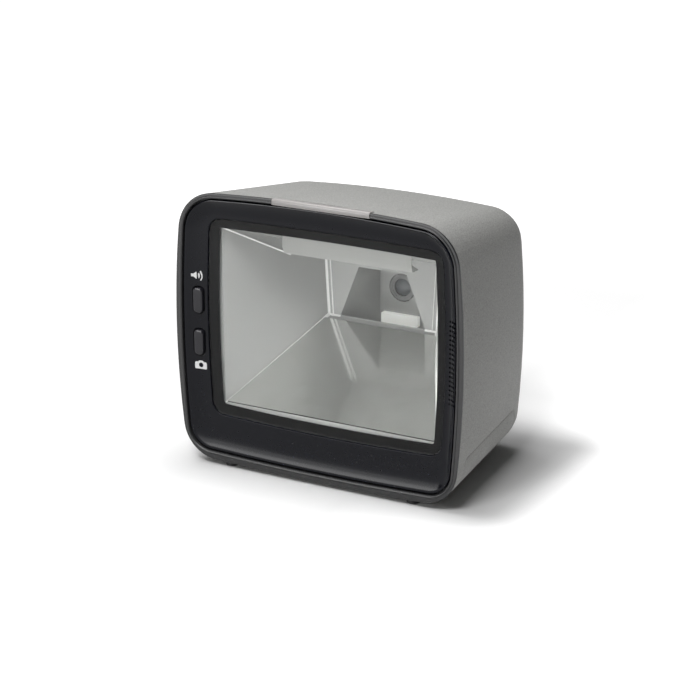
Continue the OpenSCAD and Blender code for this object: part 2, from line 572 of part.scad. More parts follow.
module optics_tub() color("#b2b4af") difference() {
  union() {
    intersection() {
      tub_hull(tub_wall);
      block(-hw, hw, tub_y, body_d, 0, body_h);
    }
    slab([mouth_w + tub_wall + 0.5, clear_s[1], mouth_z0 - tub_wall - 0.5, mouth_z1 + tub_wall + 0.5, 5000, 9000,
      9000, 3, 3], tub_y, tub_y + 2, optics_x);
    for (x = lug_x * [-1, 1]) {
      block(x - 4, x + 4, tub_y, tub_y + 2, lug_z[1], lug_z[0]);
      for (z = lug_z) rod_y(x, z, tub_y, tub_y + 2, 4);
    }
    block(optics_x - hood_w - 2.4, optics_x + hood_w + 2.4, tub_y, hood_y + 2, hood_z, mouth_z1 + tub_wall);
    nook_hull(tub_wall);
    block(optics_x - plate_w, optics_x + plate_w, nook_y, nook_y + 2, nook_z0 - 3, lens_z + 16);
    for (p = cam_holes) rod_y(p[0], p[1], nook_y + 1, cam_y, 2.6);
  }
  tub_hull(0);
  block(optics_x - hood_w - 0.4, optics_x + hood_w + 0.4, tub_y - 1, hood_y, hood_z - 2, mouth_z1 - 0.2);
  intersection() {
    nook_hull(0);
    block(-hw, hw, tub_rear_y - 2, nook_y, 0, body_h);
  }
  rod_y(optics_x, lens_z, nook_y - 1, nook_y + 3, 7);
  block(optics_x - 9.2, optics_x + 9.2, nook_y - 1, nook_y + 3, lens_z - 17.4, lens_z - 13.8);
  for (x = lug_x * [-1, 1], z = lug_z) rod_y(x, z, tub_y - 1, tub_y + 3, 1.1);
  for (p = cam_holes) rod_y(p[0], p[1], nook_y + 2.4, cam_y + 1, 0.85);
}

module tub_screws() color("#9a9ca0") for (x = lug_x * [-1, 1], z = lug_z) {
  screw_y(x, z, tub_y + 2, -1, 0.95, 4.2, 1.9);
}

// Ceiling hood: a front plate in the notch and a wedge under the sloped ceiling
module tub_hood() color("#a9aba6") {
  tip_y = mouth_y + (mouth_z1 - hood_z) / ceil_k;
  prism(optics_x - hood_w, optics_x + hood_w, [[hood_y - 0.9, mouth_z1 - 0.4], [hood_y - 0.9, hood_z + 3.2],
    [hood_y + 0.6, hood_z], [tip_y - 0.2, hood_z - 0.06], [hood_y - 0.05, ceil_z(hood_y - 0.05)],
    [hood_y - 0.05, mouth_z1 - 0.4]]);
}

module floor_mirror() color("#c4c8c8") translate([optics_x, mouth_y, mouth_z0]) rotate([floor_a, 0, 0]) {
  l = norm([rear_z0 - mouth_z0, tub_rear_y - mouth_y]);
  w0 = mouth_w - 1.6;
  w1 = rear_w + 0.6;
  translate([0, 0, 0.12]) linear_extrude(0.9) polygon([[-w0, 1.4], [w0, 1.4], [w1, l - 3], [-w1, l - 3]]);
}

module lens_holder() color("#222326") difference() {
  union() {
    block(optics_x - holder_w / 2, optics_x + holder_w / 2, nook_y + 2.3, cam_y, lens_z - holder_w / 2,
      lens_z + holder_w / 2);
    rod_y(optics_x, lens_z, nook_y + 0.2, nook_y + 3, 6.7);
  }
  rod_y(optics_x, lens_z, nook_y - 3, nook_y + 4.5, barrel_r + 0.03);
  block(optics_x - 5.8, optics_x + 5.8, nook_y + 3.9, cam_y + 1, lens_z - 5.8, lens_z + 5.8);
}

module lens_barrel() color("#2b2c30") difference() {
  rod_y(optics_x, lens_z, lens_y - 1.8, lens_y + 2.4, barrel_r);
  rod_y(optics_x, lens_z, lens_y - 3, lens_y, barrel_r - 1);
  rod_y(optics_x, lens_z, lens_y - 1, lens_y + 3, barrel_r - 2.6);
}

module front_lens() color("#7f8fa8", 0.5) translate([optics_x, lens_y, lens_z]) rotate([90, 0, 0]) rotate_extrude() {
  r = barrel_r - 1.05;
  polygon(concat([[0, 0], [r, 0]], [for (a = [32:-4:0]) [r * sin(a) / sin(32), 0.4 + 7.6 * (cos(a) - cos(32))]]));
}

module image_sensor() color("#4a5560") {
  block(optics_x - 4.5, optics_x + 4.5, cam_y - 1.2, cam_y, lens_z - 4.5, lens_z + 4.5);
}

module camera_board() color("#2f6b45") difference() {
  block(optics_x - 18, optics_x + 18, cam_y, cam_y + pcb_t, lens_z - 17, lens_z + 16);
  for (p = cam_holes) rod_y(p[0], p[1], cam_y - 1, cam_y + 3, 1);
}

module camera_screws() color("#9a9ca0") for (p = cam_holes) screw_y(p[0], p[1], cam_y + pcb_t, -1, 0.8, 4.5, 1.8);

module illum_lens() color("#eef0ea") {
  block(optics_x - 10.1, optics_x + 10.1, nook_y - 3, nook_y, lens_z - 18.2, lens_z - 13.1);
}

module illum_leds() color("#e9e4c8") for (i = [-1.5:1.5]) {
  block(optics_x + i * 4.6 - 1.7, optics_x + i * 4.6 + 1.7, nook_y + 0.4, nook_y + 2, lens_z - 17, lens_z - 14.2);
}

module illum_board() color("#2f6b45") {
  block(optics_x - 12, optics_x + 12, nook_y + 2, nook_y + 2 + pcb_t, lens_z - 21.6, lens_z - 11.4);
}

module illum_connector() color("#e4dfd2") {
  block(optics_x - 6, optics_x + 6, nook_y + 2 + pcb_t, cam_y, lens_z - 16, lens_z - 12.4);
}

module main_board() color("#2f6b45") difference() {
  block(-board_x, board_x, board_y0, board_y1, board_z, board_top);
  for (p = board_screws_at) rod_z(p[0], p[1], board_z - 1, board_top + 1, 1.1);
}

module board_screws() color("#9a9ca0") for (p = board_screws_at) screw_z(p[0], p[1], board_top, -1, 0.9, 5.5, 2);

module main_processor() color("#2c2d30") block(-9, 9, chip_y - 9, chip_y + 9, board_top, board_top + 1.6);

module memory_chips() color("#2c2d30") for (s = [-1, 1]) {
  block(s * 20 - 6.5, s * 20 + 6.5, chip_y - 4, chip_y + 5, board_top, board_top + 1.2);
}

module shield_can() color("#b9bcbf") difference() {
  x = -board_x + 15;
  y = flex_y + 1.8;
  block(x - 8, x + 8, y - 6, y + 6, board_top, board_top + 3.4);
  block(x - 7.6, x + 7.6, y - 5.6, y + 5.6, board_top - 1, board_top + 3);
}

module capacitors() color("#3b3f58") for (i = [0:2]) {
  rod_z(board_x - 7 - i * 8, flex_y + 1.8, board_top, board_top + 7, 3);
}

module lead_connectors() color("#e4dfd2") for (x = [-lead_x, lead_x]) {
  block(x - 3, x + 3, lead_y - 1, lead_y + 3, board_top, leads_z);
}

module flex_connectors() color("#e4dfd2") {
  block(optics_x - 8, optics_x + 8, flex_y - 1.6, flex_y + 1.8, board_top, board_top + flex_t);
  block(optics_x - 8, optics_x + 8, cam_y + pcb_t, cam_y + pcb_t + flex_t, lens_z - 15, lens_z - 11.6);
}

// Flat camera cable: down the back, over the cable bay and down to the main board
module camera_flex() color("#c9b48a") {
  y1 = cam_y + pcb_t + 0.8;
  y0 = flex_y;
  z1 = bay_z + wall + 3;
  out = [[y1, lens_z - 15.1], [y1, z1 + 4], [y1 - 1.2, z1 + 1.2], [y1 - 4, z1], [y0 + 4, z1], [y0 + 1.2, z1 - 1.2],
    [y0, z1 - 4], [y0, board_top + flex_t + 0.05]];
  off = [[-0.3, 0], [-0.3, 0], [-0.3, 0.15], [0, 0.3], [0, 0.3], [-0.3, 0.15], [-0.3, 0], [-0.3, 0]];
  back = [for (i = [len(out) - 1:-1:0]) out[i] + off[i]];
  prism(optics_x - 6, optics_x + 6, concat(out, back));
}

module host_socket() color("#2a2b2e") difference() {
  block(host_x - host_w / 2, host_x + host_w / 2, socket_y - host_d, socket_y, board_top, board_top + host_h);
  block(host_x - 5.9, host_x + 5.9, socket_y - 12.5, socket_y + 1, board_top + 2.7, board_top + 9.4);
  block(host_x - 3.1, host_x + 3.1, socket_y - 12.5, socket_y + 1, board_top + 9, board_top + 10.9);
}

module host_contacts() color("#c8a24a") for (i = [-4.5:4.5]) {
  block(host_x + i - 0.2, host_x + i + 0.2, socket_y - 11.5, socket_y - 4, board_top + 2.72, board_top + 3.1);
}

module aux_socket() color("#c3c5c8") difference() {
  block(aux_x - 6.6, aux_x + 6.6, socket_y - 14, socket_y, board_top, board_top + 6.4);
  block(aux_x - 6.2, aux_x + 6.2, socket_y - 12, socket_y + 1, board_top + 0.5, board_top + 5.9);
}

module aux_tongue() color("#efefec") {
  block(aux_x - 5.6, aux_x + 5.6, socket_y - 12, socket_y - 0.6, board_top + 3.6, board_top + 5.4);
}

module power_jack() color("#27282b") {
  difference() {
    block(jack_x - 4.5, jack_x + 4.5, socket_y - 13, socket_y, board_top, board_top + 10.8);
    rod_y(jack_x, board_top + 5.5, socket_y - 10, socket_y + 1, 2.9);
  }
  rod_y(jack_x, board_top + 5.5, socket_y - 10.5, socket_y - 0.8, 1);
}

seat() rear_housing();
seat() base_cover();
seat() front_feet();
seat() rear_feet();
seat() mount_inserts();
seat() base_screws();
seat() front_frame();
seat() frame_screws();
seat() bezel();
seat() window_glass();
seat() window_mask();
seat() light_bar();
seat() light_bar_board();
seat() light_bar_leds();
seat() volume_button();
seat() volume_plunger();
seat() capture_button();
seat() capture_plunger();
seat() button_switches();
seat() button_board();
seat() button_screws();
seat() button_leads();
seat() speaker_gasket();
seat() speaker_basket();
seat() speaker_cone();
seat() speaker_magnet();
seat() speaker_screws();
seat() speaker_leads();
seat() optics_tub();
seat() tub_screws();
seat() tub_hood();
seat() floor_mirror();
seat() lens_holder();
seat() lens_barrel();
seat() front_lens();
seat() image_sensor();
seat() camera_board();
seat() camera_screws();
seat() illum_lens();
seat() illum_leds();
seat() illum_board();
seat() illum_connector();
seat() main_board();
seat() board_screws();
seat() main_processor();
seat() memory_chips();
seat() shield_can();
seat() capacitors();
seat() lead_connectors();
seat() flex_connectors();
seat() camera_flex();
seat() host_socket();
seat() host_contacts();
seat() aux_socket();
seat() aux_tongue();
seat() power_jack();
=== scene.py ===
# %% [markdown]
# # An upright checkout scanner
# This lesson dresses a imported CAD model of a counter-top scanner in Blender: a grey moulded
# housing, a glossy black front with a hollowed bezel, and a light grey optics chamber behind glass.
# The CAD model is the fixed frame, and we load it first.

# %% Load the CAD frame
import math
from collections import namedtuple

import bmesh
import bpy
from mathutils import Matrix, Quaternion, Vector
from mathutils.bvhtree import BVHTree


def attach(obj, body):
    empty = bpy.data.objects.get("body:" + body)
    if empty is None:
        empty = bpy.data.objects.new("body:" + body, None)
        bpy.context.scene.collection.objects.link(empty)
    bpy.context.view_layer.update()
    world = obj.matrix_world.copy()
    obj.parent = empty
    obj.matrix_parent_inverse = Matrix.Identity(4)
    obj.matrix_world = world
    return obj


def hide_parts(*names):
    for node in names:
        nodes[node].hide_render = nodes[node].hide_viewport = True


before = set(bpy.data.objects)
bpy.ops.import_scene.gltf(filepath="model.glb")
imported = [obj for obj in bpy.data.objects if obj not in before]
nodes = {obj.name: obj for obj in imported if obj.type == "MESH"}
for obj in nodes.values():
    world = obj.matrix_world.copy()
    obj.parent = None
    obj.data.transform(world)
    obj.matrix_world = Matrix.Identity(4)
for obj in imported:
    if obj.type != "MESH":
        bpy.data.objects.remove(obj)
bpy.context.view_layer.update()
scene = bpy.context.scene

# %% [markdown]
# The CAD source measures in millimetres from the housing's front edge (y) and underside (z).
# Blender works in metres from the counter under the middle of the part. One small helper carries a
# point from the first to the second, so that every size below can be read on a ruler.

# %% From the maker's millimetres to the scene
FRONT_Y, FOOT_H = -47.25, 1.5
PER_METRE = 1000


def at(x, y, z):
    return Vector((x / PER_METRE, (y + FRONT_Y) / PER_METRE, (z + FOOT_H) / PER_METRE))


print("front edge of the housing:", tuple(round(c, 4) for c in at(0, 0, 0)))

# %% [markdown]
# ## Camera
# The camera stands to the scanner's right, a little above it. Its place and focal length were
# solved from the corners of the window, the buttons, the grille and the outline of the housing.

# %% Camera at the photograph's angle
CAMERA_AT = Vector((0.4885, -0.88055, 0.3911))
CAMERA_AIM = Vector((0.01857, -0.04725, 0.07002))
CAMERA_LENS, CAMERA_ROLL = 114.26, math.radians(-0.14)
cam_data = bpy.data.cameras.new("camera")
cam_data.lens = CAMERA_LENS
cam_data.sensor_width = 36
cam_data.sensor_fit = "HORIZONTAL"
cam_data.clip_start = 0.05
camera = bpy.data.objects.new("camera", cam_data)
scene.collection.objects.link(camera)
look = CAMERA_AIM - CAMERA_AT
camera.location = CAMERA_AT
camera.rotation_mode = "QUATERNION"
camera.rotation_quaternion = look.to_track_quat("-Z", "Y") @ Quaternion((0, 0, 1), CAMERA_ROLL)
scene.camera = camera
print("camera distance:", round(look.length, 4), "m")

# %% [markdown]
# ## Studio
# Product photographs of dark objects use a white floor and large soft lamps, because a glossy
# surface shows the shape of what it reflects. The floor adds a little light of its own, only where
# the camera, a reflection or a look through glass meets it. So it reads white and keeps the shadow.


# %% Node helpers for materials
def new_material(name):
    mat = bpy.data.materials.new(name)
    mat.use_nodes = True
    tree = mat.node_tree
    return mat, tree, tree.nodes["Principled BSDF"]


def wire(tree, a, b):
    tree.links.new(a, b)


def add(tree, kind, *sources, **settings):
    """A new node with its settings. The sources are wired to its first inputs, in order."""
    n = tree.nodes.new("ShaderNode" + kind)
    for key, value in settings.items():
        setattr(n, key, value)
    for source, socket in zip(sources, n.inputs):
        wire(tree, source, socket)
    return n


def own_place(tree):
    """The object's own coordinates, in metres."""
    return add(tree, "TexCoord").outputs["Object"]


print("node helpers ready")

# %% [markdown]
# The floor's own light fades toward the scanner, so that the shadow stays dark at the feet. The fade
# is shorter on the right, where the shadow falls. Both fades are colour ramps over the distance from
# the oblong of floor that the scanner covers.

# %% Parts of the floor's own light
SHADOW_MIDDLE, SHADOW_HALF = (0.012, 0.008, 0), (0.068, 0.045, 0)


def seen_directly(t):
    """One where the camera, a reflection or a look through glass meets the floor."""
    path = add(t, "LightPath").outputs
    near = add(t, "Math", path["Is Camera Ray"], path["Is Glossy Ray"], operation="MAXIMUM")
    both = add(t, "Math", near.outputs[0], path["Is Transmission Ray"], operation="MAXIMUM")
    return both.outputs[0]


def distance_outside(t, place):
    """Distance from the oblong of floor that the scanner covers."""
    aside = add(t, "VectorMath", place, operation="SUBTRACT")
    aside.inputs[1].default_value = SHADOW_MIDDLE
    apart = add(t, "VectorMath", aside.outputs[0], operation="ABSOLUTE")
    beyond = add(t, "VectorMath", apart.outputs[0], operation="SUBTRACT")
    beyond.inputs[1].default_value = SHADOW_HALF
    outside = add(t, "VectorMath", beyond.outputs[0], operation="MAXIMUM")
    return add(t, "VectorMath", outside.outputs[0], operation="LENGTH").outputs["Value"]


def fade(t, distance, stops):
    """A ramp of grey levels over the distance, from pairs of distance and level."""
    ramp = add(t, "ValToRGB", distance)
    marks = ramp.color_ramp.elements
    for i, (place, level) in enumerate(stops):
        mark = marks[i] if i < 2 else marks.new(place)
        mark.position = place
        mark.color = (level, level, level, 1)
    return ramp.outputs["Color"]


print("shadow oblong:", SHADOW_MIDDLE, SHADOW_HALF)

# %% [markdown]
# The floor is a large flat plane in matt white. A curved paper sweep would do the same, but a plane is
# simpler, and its far edge lies out of the picture.

# %% White floor that keeps the shadow
FLOOR_WHITE, FLOOR_SIZE, FLOOR_Z = 0.66, 14, -0.0002
LIT_FADE = ((0.0, 0.0), (0.012, 0.08), (0.045, 0.34), (0.25, 0.42), (0.5, 0.95))
SHADE_FADE = ((0.0, 0.0), (0.007, 0.05), (0.032, 0.78), (0.09, 0.95), (0.8, 0.95))
SHADE_FROM_X, SHADE_TO_X = 0.02, 0.10


def matt_floor():
    mat, t, p = new_material("studio_floor")
    p.inputs["Base Color"].default_value = (FLOOR_WHITE, FLOOR_WHITE, FLOOR_WHITE, 1)
    p.inputs["Roughness"].default_value = 0.9
    p.inputs["Specular IOR Level"].default_value = 0.0
    place = own_place(t)
    distance = distance_outside(t, place)
    across = add(t, "MapRange", add(t, "SeparateXYZ", place).outputs["X"])
    across.inputs["From Min"].default_value = SHADE_FROM_X
    across.inputs["From Max"].default_value = SHADE_TO_X
    lift = add(t, "Mix", across.outputs["Result"])
    wire(t, fade(t, distance, LIT_FADE), lift.inputs["A"])
    wire(t, fade(t, distance, SHADE_FADE), lift.inputs["B"])
    glow = add(t, "Math", seen_directly(t), lift.outputs["Result"], operation="MULTIPLY")
    p.inputs["Emission Color"].default_value = (1, 1, 1, 1)
    wire(t, glow.outputs[0], p.inputs["Emission Strength"])
    return mat


bpy.ops.mesh.primitive_plane_add(size=FLOOR_SIZE, location=(0, 0, FLOOR_Z))
floor = bpy.context.object
floor.name = "floor"
floor.data.materials.append(matt_floor())
print("floor laid:", floor.name)

# %% [markdown]
# A large lamp above and a little to the left lights the top, and a smaller one in front lights the
# front and the chamber. Three gloss cards, one above the other, are there only to be mirrored in the
# black front. A faint lamp on the floor at the right stands for the light that a white table throws back.

# %% Lamps and surrounding light
WORLD_LIGHT = 0.05
AIM = (0, 0, 0.07)
CARD_X, CARD_Y, CARD_W = -0.55, -1.30, 0.9
# Name, height of the middle, height of the card, and watts.
GLOSS_CARDS = (("low", 0.07, 0.12, 1.2), ("mid", 0.22, 0.18, 4.2), ("high", 0.46, 0.30, 13))


def softbox(name, place, aim, size, watts):
    data = bpy.data.lights.new(name, "AREA")
    data.shape = "RECTANGLE"
    data.size, data.size_y = size
    data.energy = watts
    lamp = bpy.data.objects.new(name, data)
    scene.collection.objects.link(lamp)
    lamp.location = place
    lamp.visible_camera = False
    lamp.rotation_mode = "QUATERNION"
    lamp.rotation_quaternion = (Vector(aim) - Vector(place)).to_track_quat("-Z", "Y")
    return lamp


world = bpy.data.worlds.new("studio")
world.use_nodes = True
scene.world = world
air = world.node_tree.nodes["Background"]
air.inputs["Color"].default_value = (1, 1, 1, 1)
air.inputs["Strength"].default_value = WORLD_LIGHT
softbox("top_softbox", (-0.24, -0.02, 0.95), (0, 0, 0.05), (0.7, 0.7), 7.2)
softbox("front_softbox", (0.06, -0.70, 1.00), AIM, (0.40, 0.30), 8)
for level, height, tall, watts in GLOSS_CARDS:
    card = softbox("gloss_card_" + level, (CARD_X, CARD_Y, height), AIM, (CARD_W, tall), watts)
    card.visible_diffuse = False
    card.visible_transmission = False
bounce = softbox("floor_bounce", (0.10, 0.0, 0.0005), (0.10, 0.0, 1), (0.05, 0.10), 0.008)
bounce.visible_glossy = False
scene.view_settings.view_transform = "Standard"

# %% [markdown]
# ## Finishes
# The scanner has few finishes, and each shows at close range: a fine moulded grain on the grey
# housing, a deep gloss on the black front, a satin on the buttons, and a semi-gloss on the chamber.
# All are built from noise in the object's own coordinates, so they need no unwrapping.

# %% Moulded plastic with a fine grain
BROAD_SCALE, POLISH_SPREAD, SMOOTHEST = 38.0, 0.05, 0.02
GRAIN_STRENGTH, COAT_ROUGH = 0.6, 0.04


def noise(tree, scale, detail):
    n = add(tree, "TexNoise", own_place(tree))
    n.inputs["Scale"].default_value = scale
    n.inputs["Detail"].default_value = detail
    return n.outputs["Fac"]


def two_tones(tree, value, dark, light, start=0.0, end=1.0):
    """A ramp from a dark to a light colour over the given stretch of a value."""
    ramp = add(tree, "ValToRGB", value)
    first, last = ramp.color_ramp.elements
    first.position, last.position = start, end
    first.color, last.color = (*dark, 1), (*light, 1)
    return ramp.outputs["Color"]


def vary(tree, value, low, high):
    n = add(tree, "MapRange", value)
    n.inputs["To Min"].default_value = low
    n.inputs["To Max"].default_value = high
    return n.outputs["Result"]


def moulded(name, colour, rough, grain, depth, speck=0.0, coat=0.0, shine=0.5):
    """Plastic with a grain of the given size and depth in millimetres, and slight speckle."""
    mat, t, p = new_material(name)
    fine = noise(t, PER_METRE / grain, 2.0)
    broad = noise(t, BROAD_SCALE, 3.0)
    dark = [c * (1 - speck) for c in colour]
    light = [min(1, c * (1 + speck)) for c in colour]
    wire(t, two_tones(t, fine, dark, light, start=0.3, end=0.7), p.inputs["Base Color"])
    low, high = max(SMOOTHEST, rough - POLISH_SPREAD), min(1, rough + POLISH_SPREAD)
    wire(t, vary(t, broad, low, high), p.inputs["Roughness"])
    if depth:
        bump = add(t, "Bump")
        bump.inputs["Strength"].default_value = GRAIN_STRENGTH
        bump.inputs["Distance"].default_value = depth / PER_METRE
        wire(t, fine, bump.inputs["Height"])
        wire(t, bump.outputs["Normal"], p.inputs["Normal"])
    p.inputs["Specular IOR Level"].default_value = shine
    p.inputs["Coat Weight"].default_value = coat
    p.inputs["Coat Roughness"].default_value = COAT_ROUGH
    return mat


# Each line: colour, roughness, grain size and grain depth in millimetres.
housing_grey = moulded("housing_grey", (0.335, 0.335, 0.324), 0.56, 0.62, 0.10, speck=0.24, shine=0.3)
base_grey = moulded("base_grey", (0.325, 0.325, 0.314), 0.58, 0.62, 0.10, speck=0.24, shine=0.3)
gloss_black = moulded("gloss_black", (0.0038, 0.0043, 0.0078), 0.12, 3.0, 0.0, speck=0.06, shine=0.18)
lip_black = moulded("lip_black", (0.028, 0.028, 0.029), 0.38, 0.5, 0.03, speck=0.10, shine=0.45)
button_satin = moulded("button_satin", (0.016, 0.0155, 0.020), 0.26, 0.5, 0.01, speck=0.08, shine=0.34)
border_black = moulded("border_black", (0.005, 0.005, 0.006), 0.42, 0.4, 0.0, speck=0.1, shine=0.08)
foot_rubber = moulded("foot_rubber", (0.016, 0.016, 0.018), 0.78, 0.5, 0.05, speck=0.15)
white_print = moulded("white_print", (0.86, 0.86, 0.86), 0.5, 0.25, 0.004, speck=0.02)
print("outer plastics:", housing_grey.name, gloss_black.name, button_satin.name)

# %% [markdown]
# The chamber is a lighter and shinier plastic, which spreads the lamp's light. What is hidden behind it
# gets the usual colours of its kind: green boards, black chips, red and dark leads.

# %% Plastics of the chamber and the electronics
chamber_grey = moulded("chamber_grey", (0.40, 0.403, 0.393), 0.24, 0.9, 0.003, speck=0.03, shine=0.9)
hood_grey = moulded("hood_grey", (0.42, 0.423, 0.41), 0.30, 0.9, 0.004, speck=0.03)
# Near white, far lighter than the chamber's own grey: a painted highlight along the corner fillets.
painted_corner_highlight = moulded("painted_corner_highlight", (0.93, 0.93, 0.92), 0.12, 0.9, 0.0, speck=0.02, shine=1.0)
barrel_grey = moulded("barrel_grey", (0.21, 0.21, 0.21), 0.36, 0.4, 0.01, speck=0.06)
socket_black = moulded("socket_black", (0.018, 0.018, 0.020), 0.45, 0.4, 0.02, speck=0.1)
board_green = moulded("board_green", (0.020, 0.115, 0.050), 0.32, 1.2, 0.01, speck=0.14, coat=0.2)
chip_black = moulded("chip_black", (0.014, 0.014, 0.015), 0.55, 0.3, 0.01, speck=0.1)
cream_moulded = moulded("cream_moulded", (0.62, 0.57, 0.47), 0.5, 0.5, 0.01, speck=0.05)
lead_red = moulded("lead_red", (0.19, 0.022, 0.020), 0.5, 0.5, 0.01, speck=0.08)
lead_dark = moulded("lead_dark", (0.022, 0.022, 0.025), 0.5, 0.5, 0.01, speck=0.08)
amber_film = moulded("amber_film", (0.40, 0.20, 0.05), 0.28, 0.8, 0.0, speck=0.06, coat=0.3)
cap_sleeve = moulded("cap_sleeve", (0.016, 0.020, 0.060), 0.35, 0.8, 0.0, speck=0.06, coat=0.2)
print("materials so far:", len(bpy.data.materials))

# %% [markdown]
# Screws, inserts, tin and the reflecting sheet are metal. A metal has no colour of its own apart from
# its reflection, so the noise here shifts the tint and the polish a little, as handling does.

# %% Metals
DULL_TINT, MORE_POLISH, LESS_POLISH = 0.86, 0.06, 0.08


def metal(name, colour, rough, grain):
    mat, t, p = new_material(name)
    p.inputs["Metallic"].default_value = 1.0
    brush = noise(t, PER_METRE / grain, 3.0)
    wire(t, two_tones(t, brush, [c * DULL_TINT for c in colour], colour), p.inputs["Base Color"])
    wire(t, vary(t, brush, rough - MORE_POLISH, rough + LESS_POLISH), p.inputs["Roughness"])
    return mat


screw_steel = metal("screw_steel", (0.60, 0.61, 0.62), 0.30, 0.6)
insert_brass = metal("insert_brass", (0.66, 0.47, 0.18), 0.28, 0.7)
tin_plate = metal("tin_plate", (0.66, 0.67, 0.68), 0.26, 1.5)
mirror_silver = metal("mirror_silver", (0.92, 0.92, 0.91), 0.08, 9.0)
print("metals:", screw_steel.name, insert_brass.name, tin_plate.name, mirror_silver.name)

# %% [markdown]
# The reflecting sheet on the chamber's floor shows the rear wall again, upside down. The CAD floor is
# steeper than that picture tells, so a plain mirror here would show the hood instead. The sheet stays
# where it is, and only the direction in which it mirrors is turned about the scanner's width. A little
# of the metal gives way to a dull white, for the haze on the sheet.

# %% Reflecting sheet
MIRROR_TURN, MIRROR_HAZE = -14.0, 0.03


def turned_mirror(mat, degrees, haze):
    """Let a metal mirror as if its surface were turned about the scanner's width."""
    t = mat.node_tree
    p = t.nodes["Principled BSDF"]
    face = add(t, "NewGeometry")
    turn = add(t, "VectorRotate", face.outputs["Normal"], rotation_type="X_AXIS")
    turn.inputs["Angle"].default_value = math.radians(degrees)
    wire(t, turn.outputs["Vector"], p.inputs["Normal"])
    p.inputs["Metallic"].default_value = 1 - haze


turned_mirror(mirror_silver, MIRROR_TURN, MIRROR_HAZE)
print("mirror turned by", MIRROR_TURN, "degrees")

# %% [markdown]
# The window is a clear plate, and the chamber behind it is lit through it. Blender's glass would cast
# a dark shadow there, so a shadow ray meets a plain see-through shader instead. The light bar and the
# lamp bar are milky plastic: light sinks in a little and comes out again, which softens their edges.

# %% Glass and milky plastic
CLOUD_SCALE, CLOUD_TINT, MILK_ROUGH = 260.0, 0.95, 0.34
SINK_SHARE, SINK_DEPTH = 0.25, (0.002, 0.0018, 0.0016)


def clear_glass(name, tint, rough, ior, through=1.0):
    """Glass that lets the lamps through, so that what stands behind it is lit."""
    mat, t, p = new_material(name)
    p.inputs["Base Color"].default_value = (*tint, 1)
    p.inputs["Transmission Weight"].default_value = through
    p.inputs["Roughness"].default_value = rough
    p.inputs["IOR"].default_value = ior
    clear = add(t, "BsdfTransparent")
    clear.inputs["Color"].default_value = (*tint, 1)
    shadow = add(t, "LightPath").outputs["Is Shadow Ray"]
    mix = add(t, "MixShader", shadow, p.outputs["BSDF"], clear.outputs["BSDF"])
    wire(t, mix.outputs["Shader"], t.nodes["Material Output"].inputs["Surface"])
    return mat


def milky(name, colour, glow):
    mat, t, p = new_material(name)
    cloud = noise(t, CLOUD_SCALE, 2.0)
    wire(t, two_tones(t, cloud, [c * CLOUD_TINT for c in colour], colour), p.inputs["Base Color"])
    p.inputs["Roughness"].default_value = MILK_ROUGH
    p.inputs["Subsurface Weight"].default_value = SINK_SHARE
    p.inputs["Subsurface Radius"].default_value = SINK_DEPTH
    p.inputs["Emission Color"].default_value = (*colour, 1)
    p.inputs["Emission Strength"].default_value = glow
    return mat


window_clear = clear_glass("window_clear", (0.91, 0.915, 0.908), 0.01, 1.28)
lens_glass = clear_glass("lens_glass", (0.36, 0.38, 0.40), 0.03, 1.6, through=0.5)
bar_milk = milky("bar_milk", (0.37, 0.352, 0.345), 0.0)
lamp_milk = milky("lamp_milk", (0.85, 0.86, 0.83), 0.35)
led_cream = milky("led_cream", (0.80, 0.74, 0.50), 0.0)
print("see-through:", window_clear.name, lens_glass.name)

# %% [markdown]
# ## Outlines
# The front of the scanner is a rounded rectangle whose four edges all bow outwards. Each edge is an
# arc of a large circle, and each corner is a small arc that touches two of them. One record holds
# such an outline, and an inset of it gives the lip, the groove, the bezel and the window.

# %% The bowed outline and its inset
Outline = namedtuple("Outline", "half_w mid_z low high side_r top_r base_r top_corner base_corner")
LEAST_CORNER = 0.4


def inset(s, d):
    """The outline drawn in by d on every side, or out where d is negative."""
    return Outline(s.half_w - d, s.mid_z, s.low + d, s.high - d, s.side_r - d, s.top_r - d, s.base_r - d,
                   max(s.top_corner - d, LEAST_CORNER), max(s.base_corner - d, LEAST_CORNER))


def meet(c, r, d, q, up):
    """Where a circle of radius r round c crosses a circle of radius q round d."""
    span = math.hypot(d[0] - c[0], d[1] - c[1])
    u = ((d[0] - c[0]) / span, (d[1] - c[1]) / span)
    a = (r * r - q * q + span * span) / (2 * span)
    h = math.sqrt(max(0.0, r * r - a * a)) * (1 if up else -1)
    return (c[0] + a * u[0] - h * u[1], c[1] + a * u[1] + h * u[0])


def arc(c, r, a, b, n, skip=0):
    turns = [a + (b - a) * i / n for i in range(skip, n + 1)]
    return [(c[0] + r * math.cos(turn), c[1] + r * math.sin(turn)) for turn in turns]


def facing(v, c):
    return math.atan2(v[1] - c[1], v[0] - c[0])


def loop(s, edge=14, corner=18, side=22):
    """Points of an outline, clockwise from the middle of its top."""
    mid_side = (s.half_w - s.side_r, s.mid_z)
    mid_top = (0, s.high - s.top_r)
    mid_base = (0, s.low + s.base_r)
    up = meet(mid_side, s.side_r - s.top_corner, mid_top, s.top_r - s.top_corner, True)
    down = meet(mid_side, s.side_r - s.base_corner, mid_base, s.base_r - s.base_corner, False)
    half = (arc(mid_top, s.top_r, math.pi / 2, facing(up, mid_top), edge)
            + arc(up, s.top_corner, facing(up, mid_top), facing(up, mid_side), corner, 1)
            + arc(mid_side, s.side_r, facing(up, mid_side), facing(down, mid_side), side, 1)
            + arc(down, s.base_corner, facing(down, mid_side), facing(down, mid_base), corner, 1)
            + arc(mid_base, s.base_r, facing(down, mid_base), -math.pi / 2, edge, 1))
    return half + [(-x, z) for x, z in half[-2:0:-1]]


print("parts of an outline:", Outline._fields)

# %% [markdown]
# These are the scanner's own outlines, in the CAD model's sizes. The body tapers to the back, so its
# outline is worked out for each depth. The window lies a little to the right of the middle.

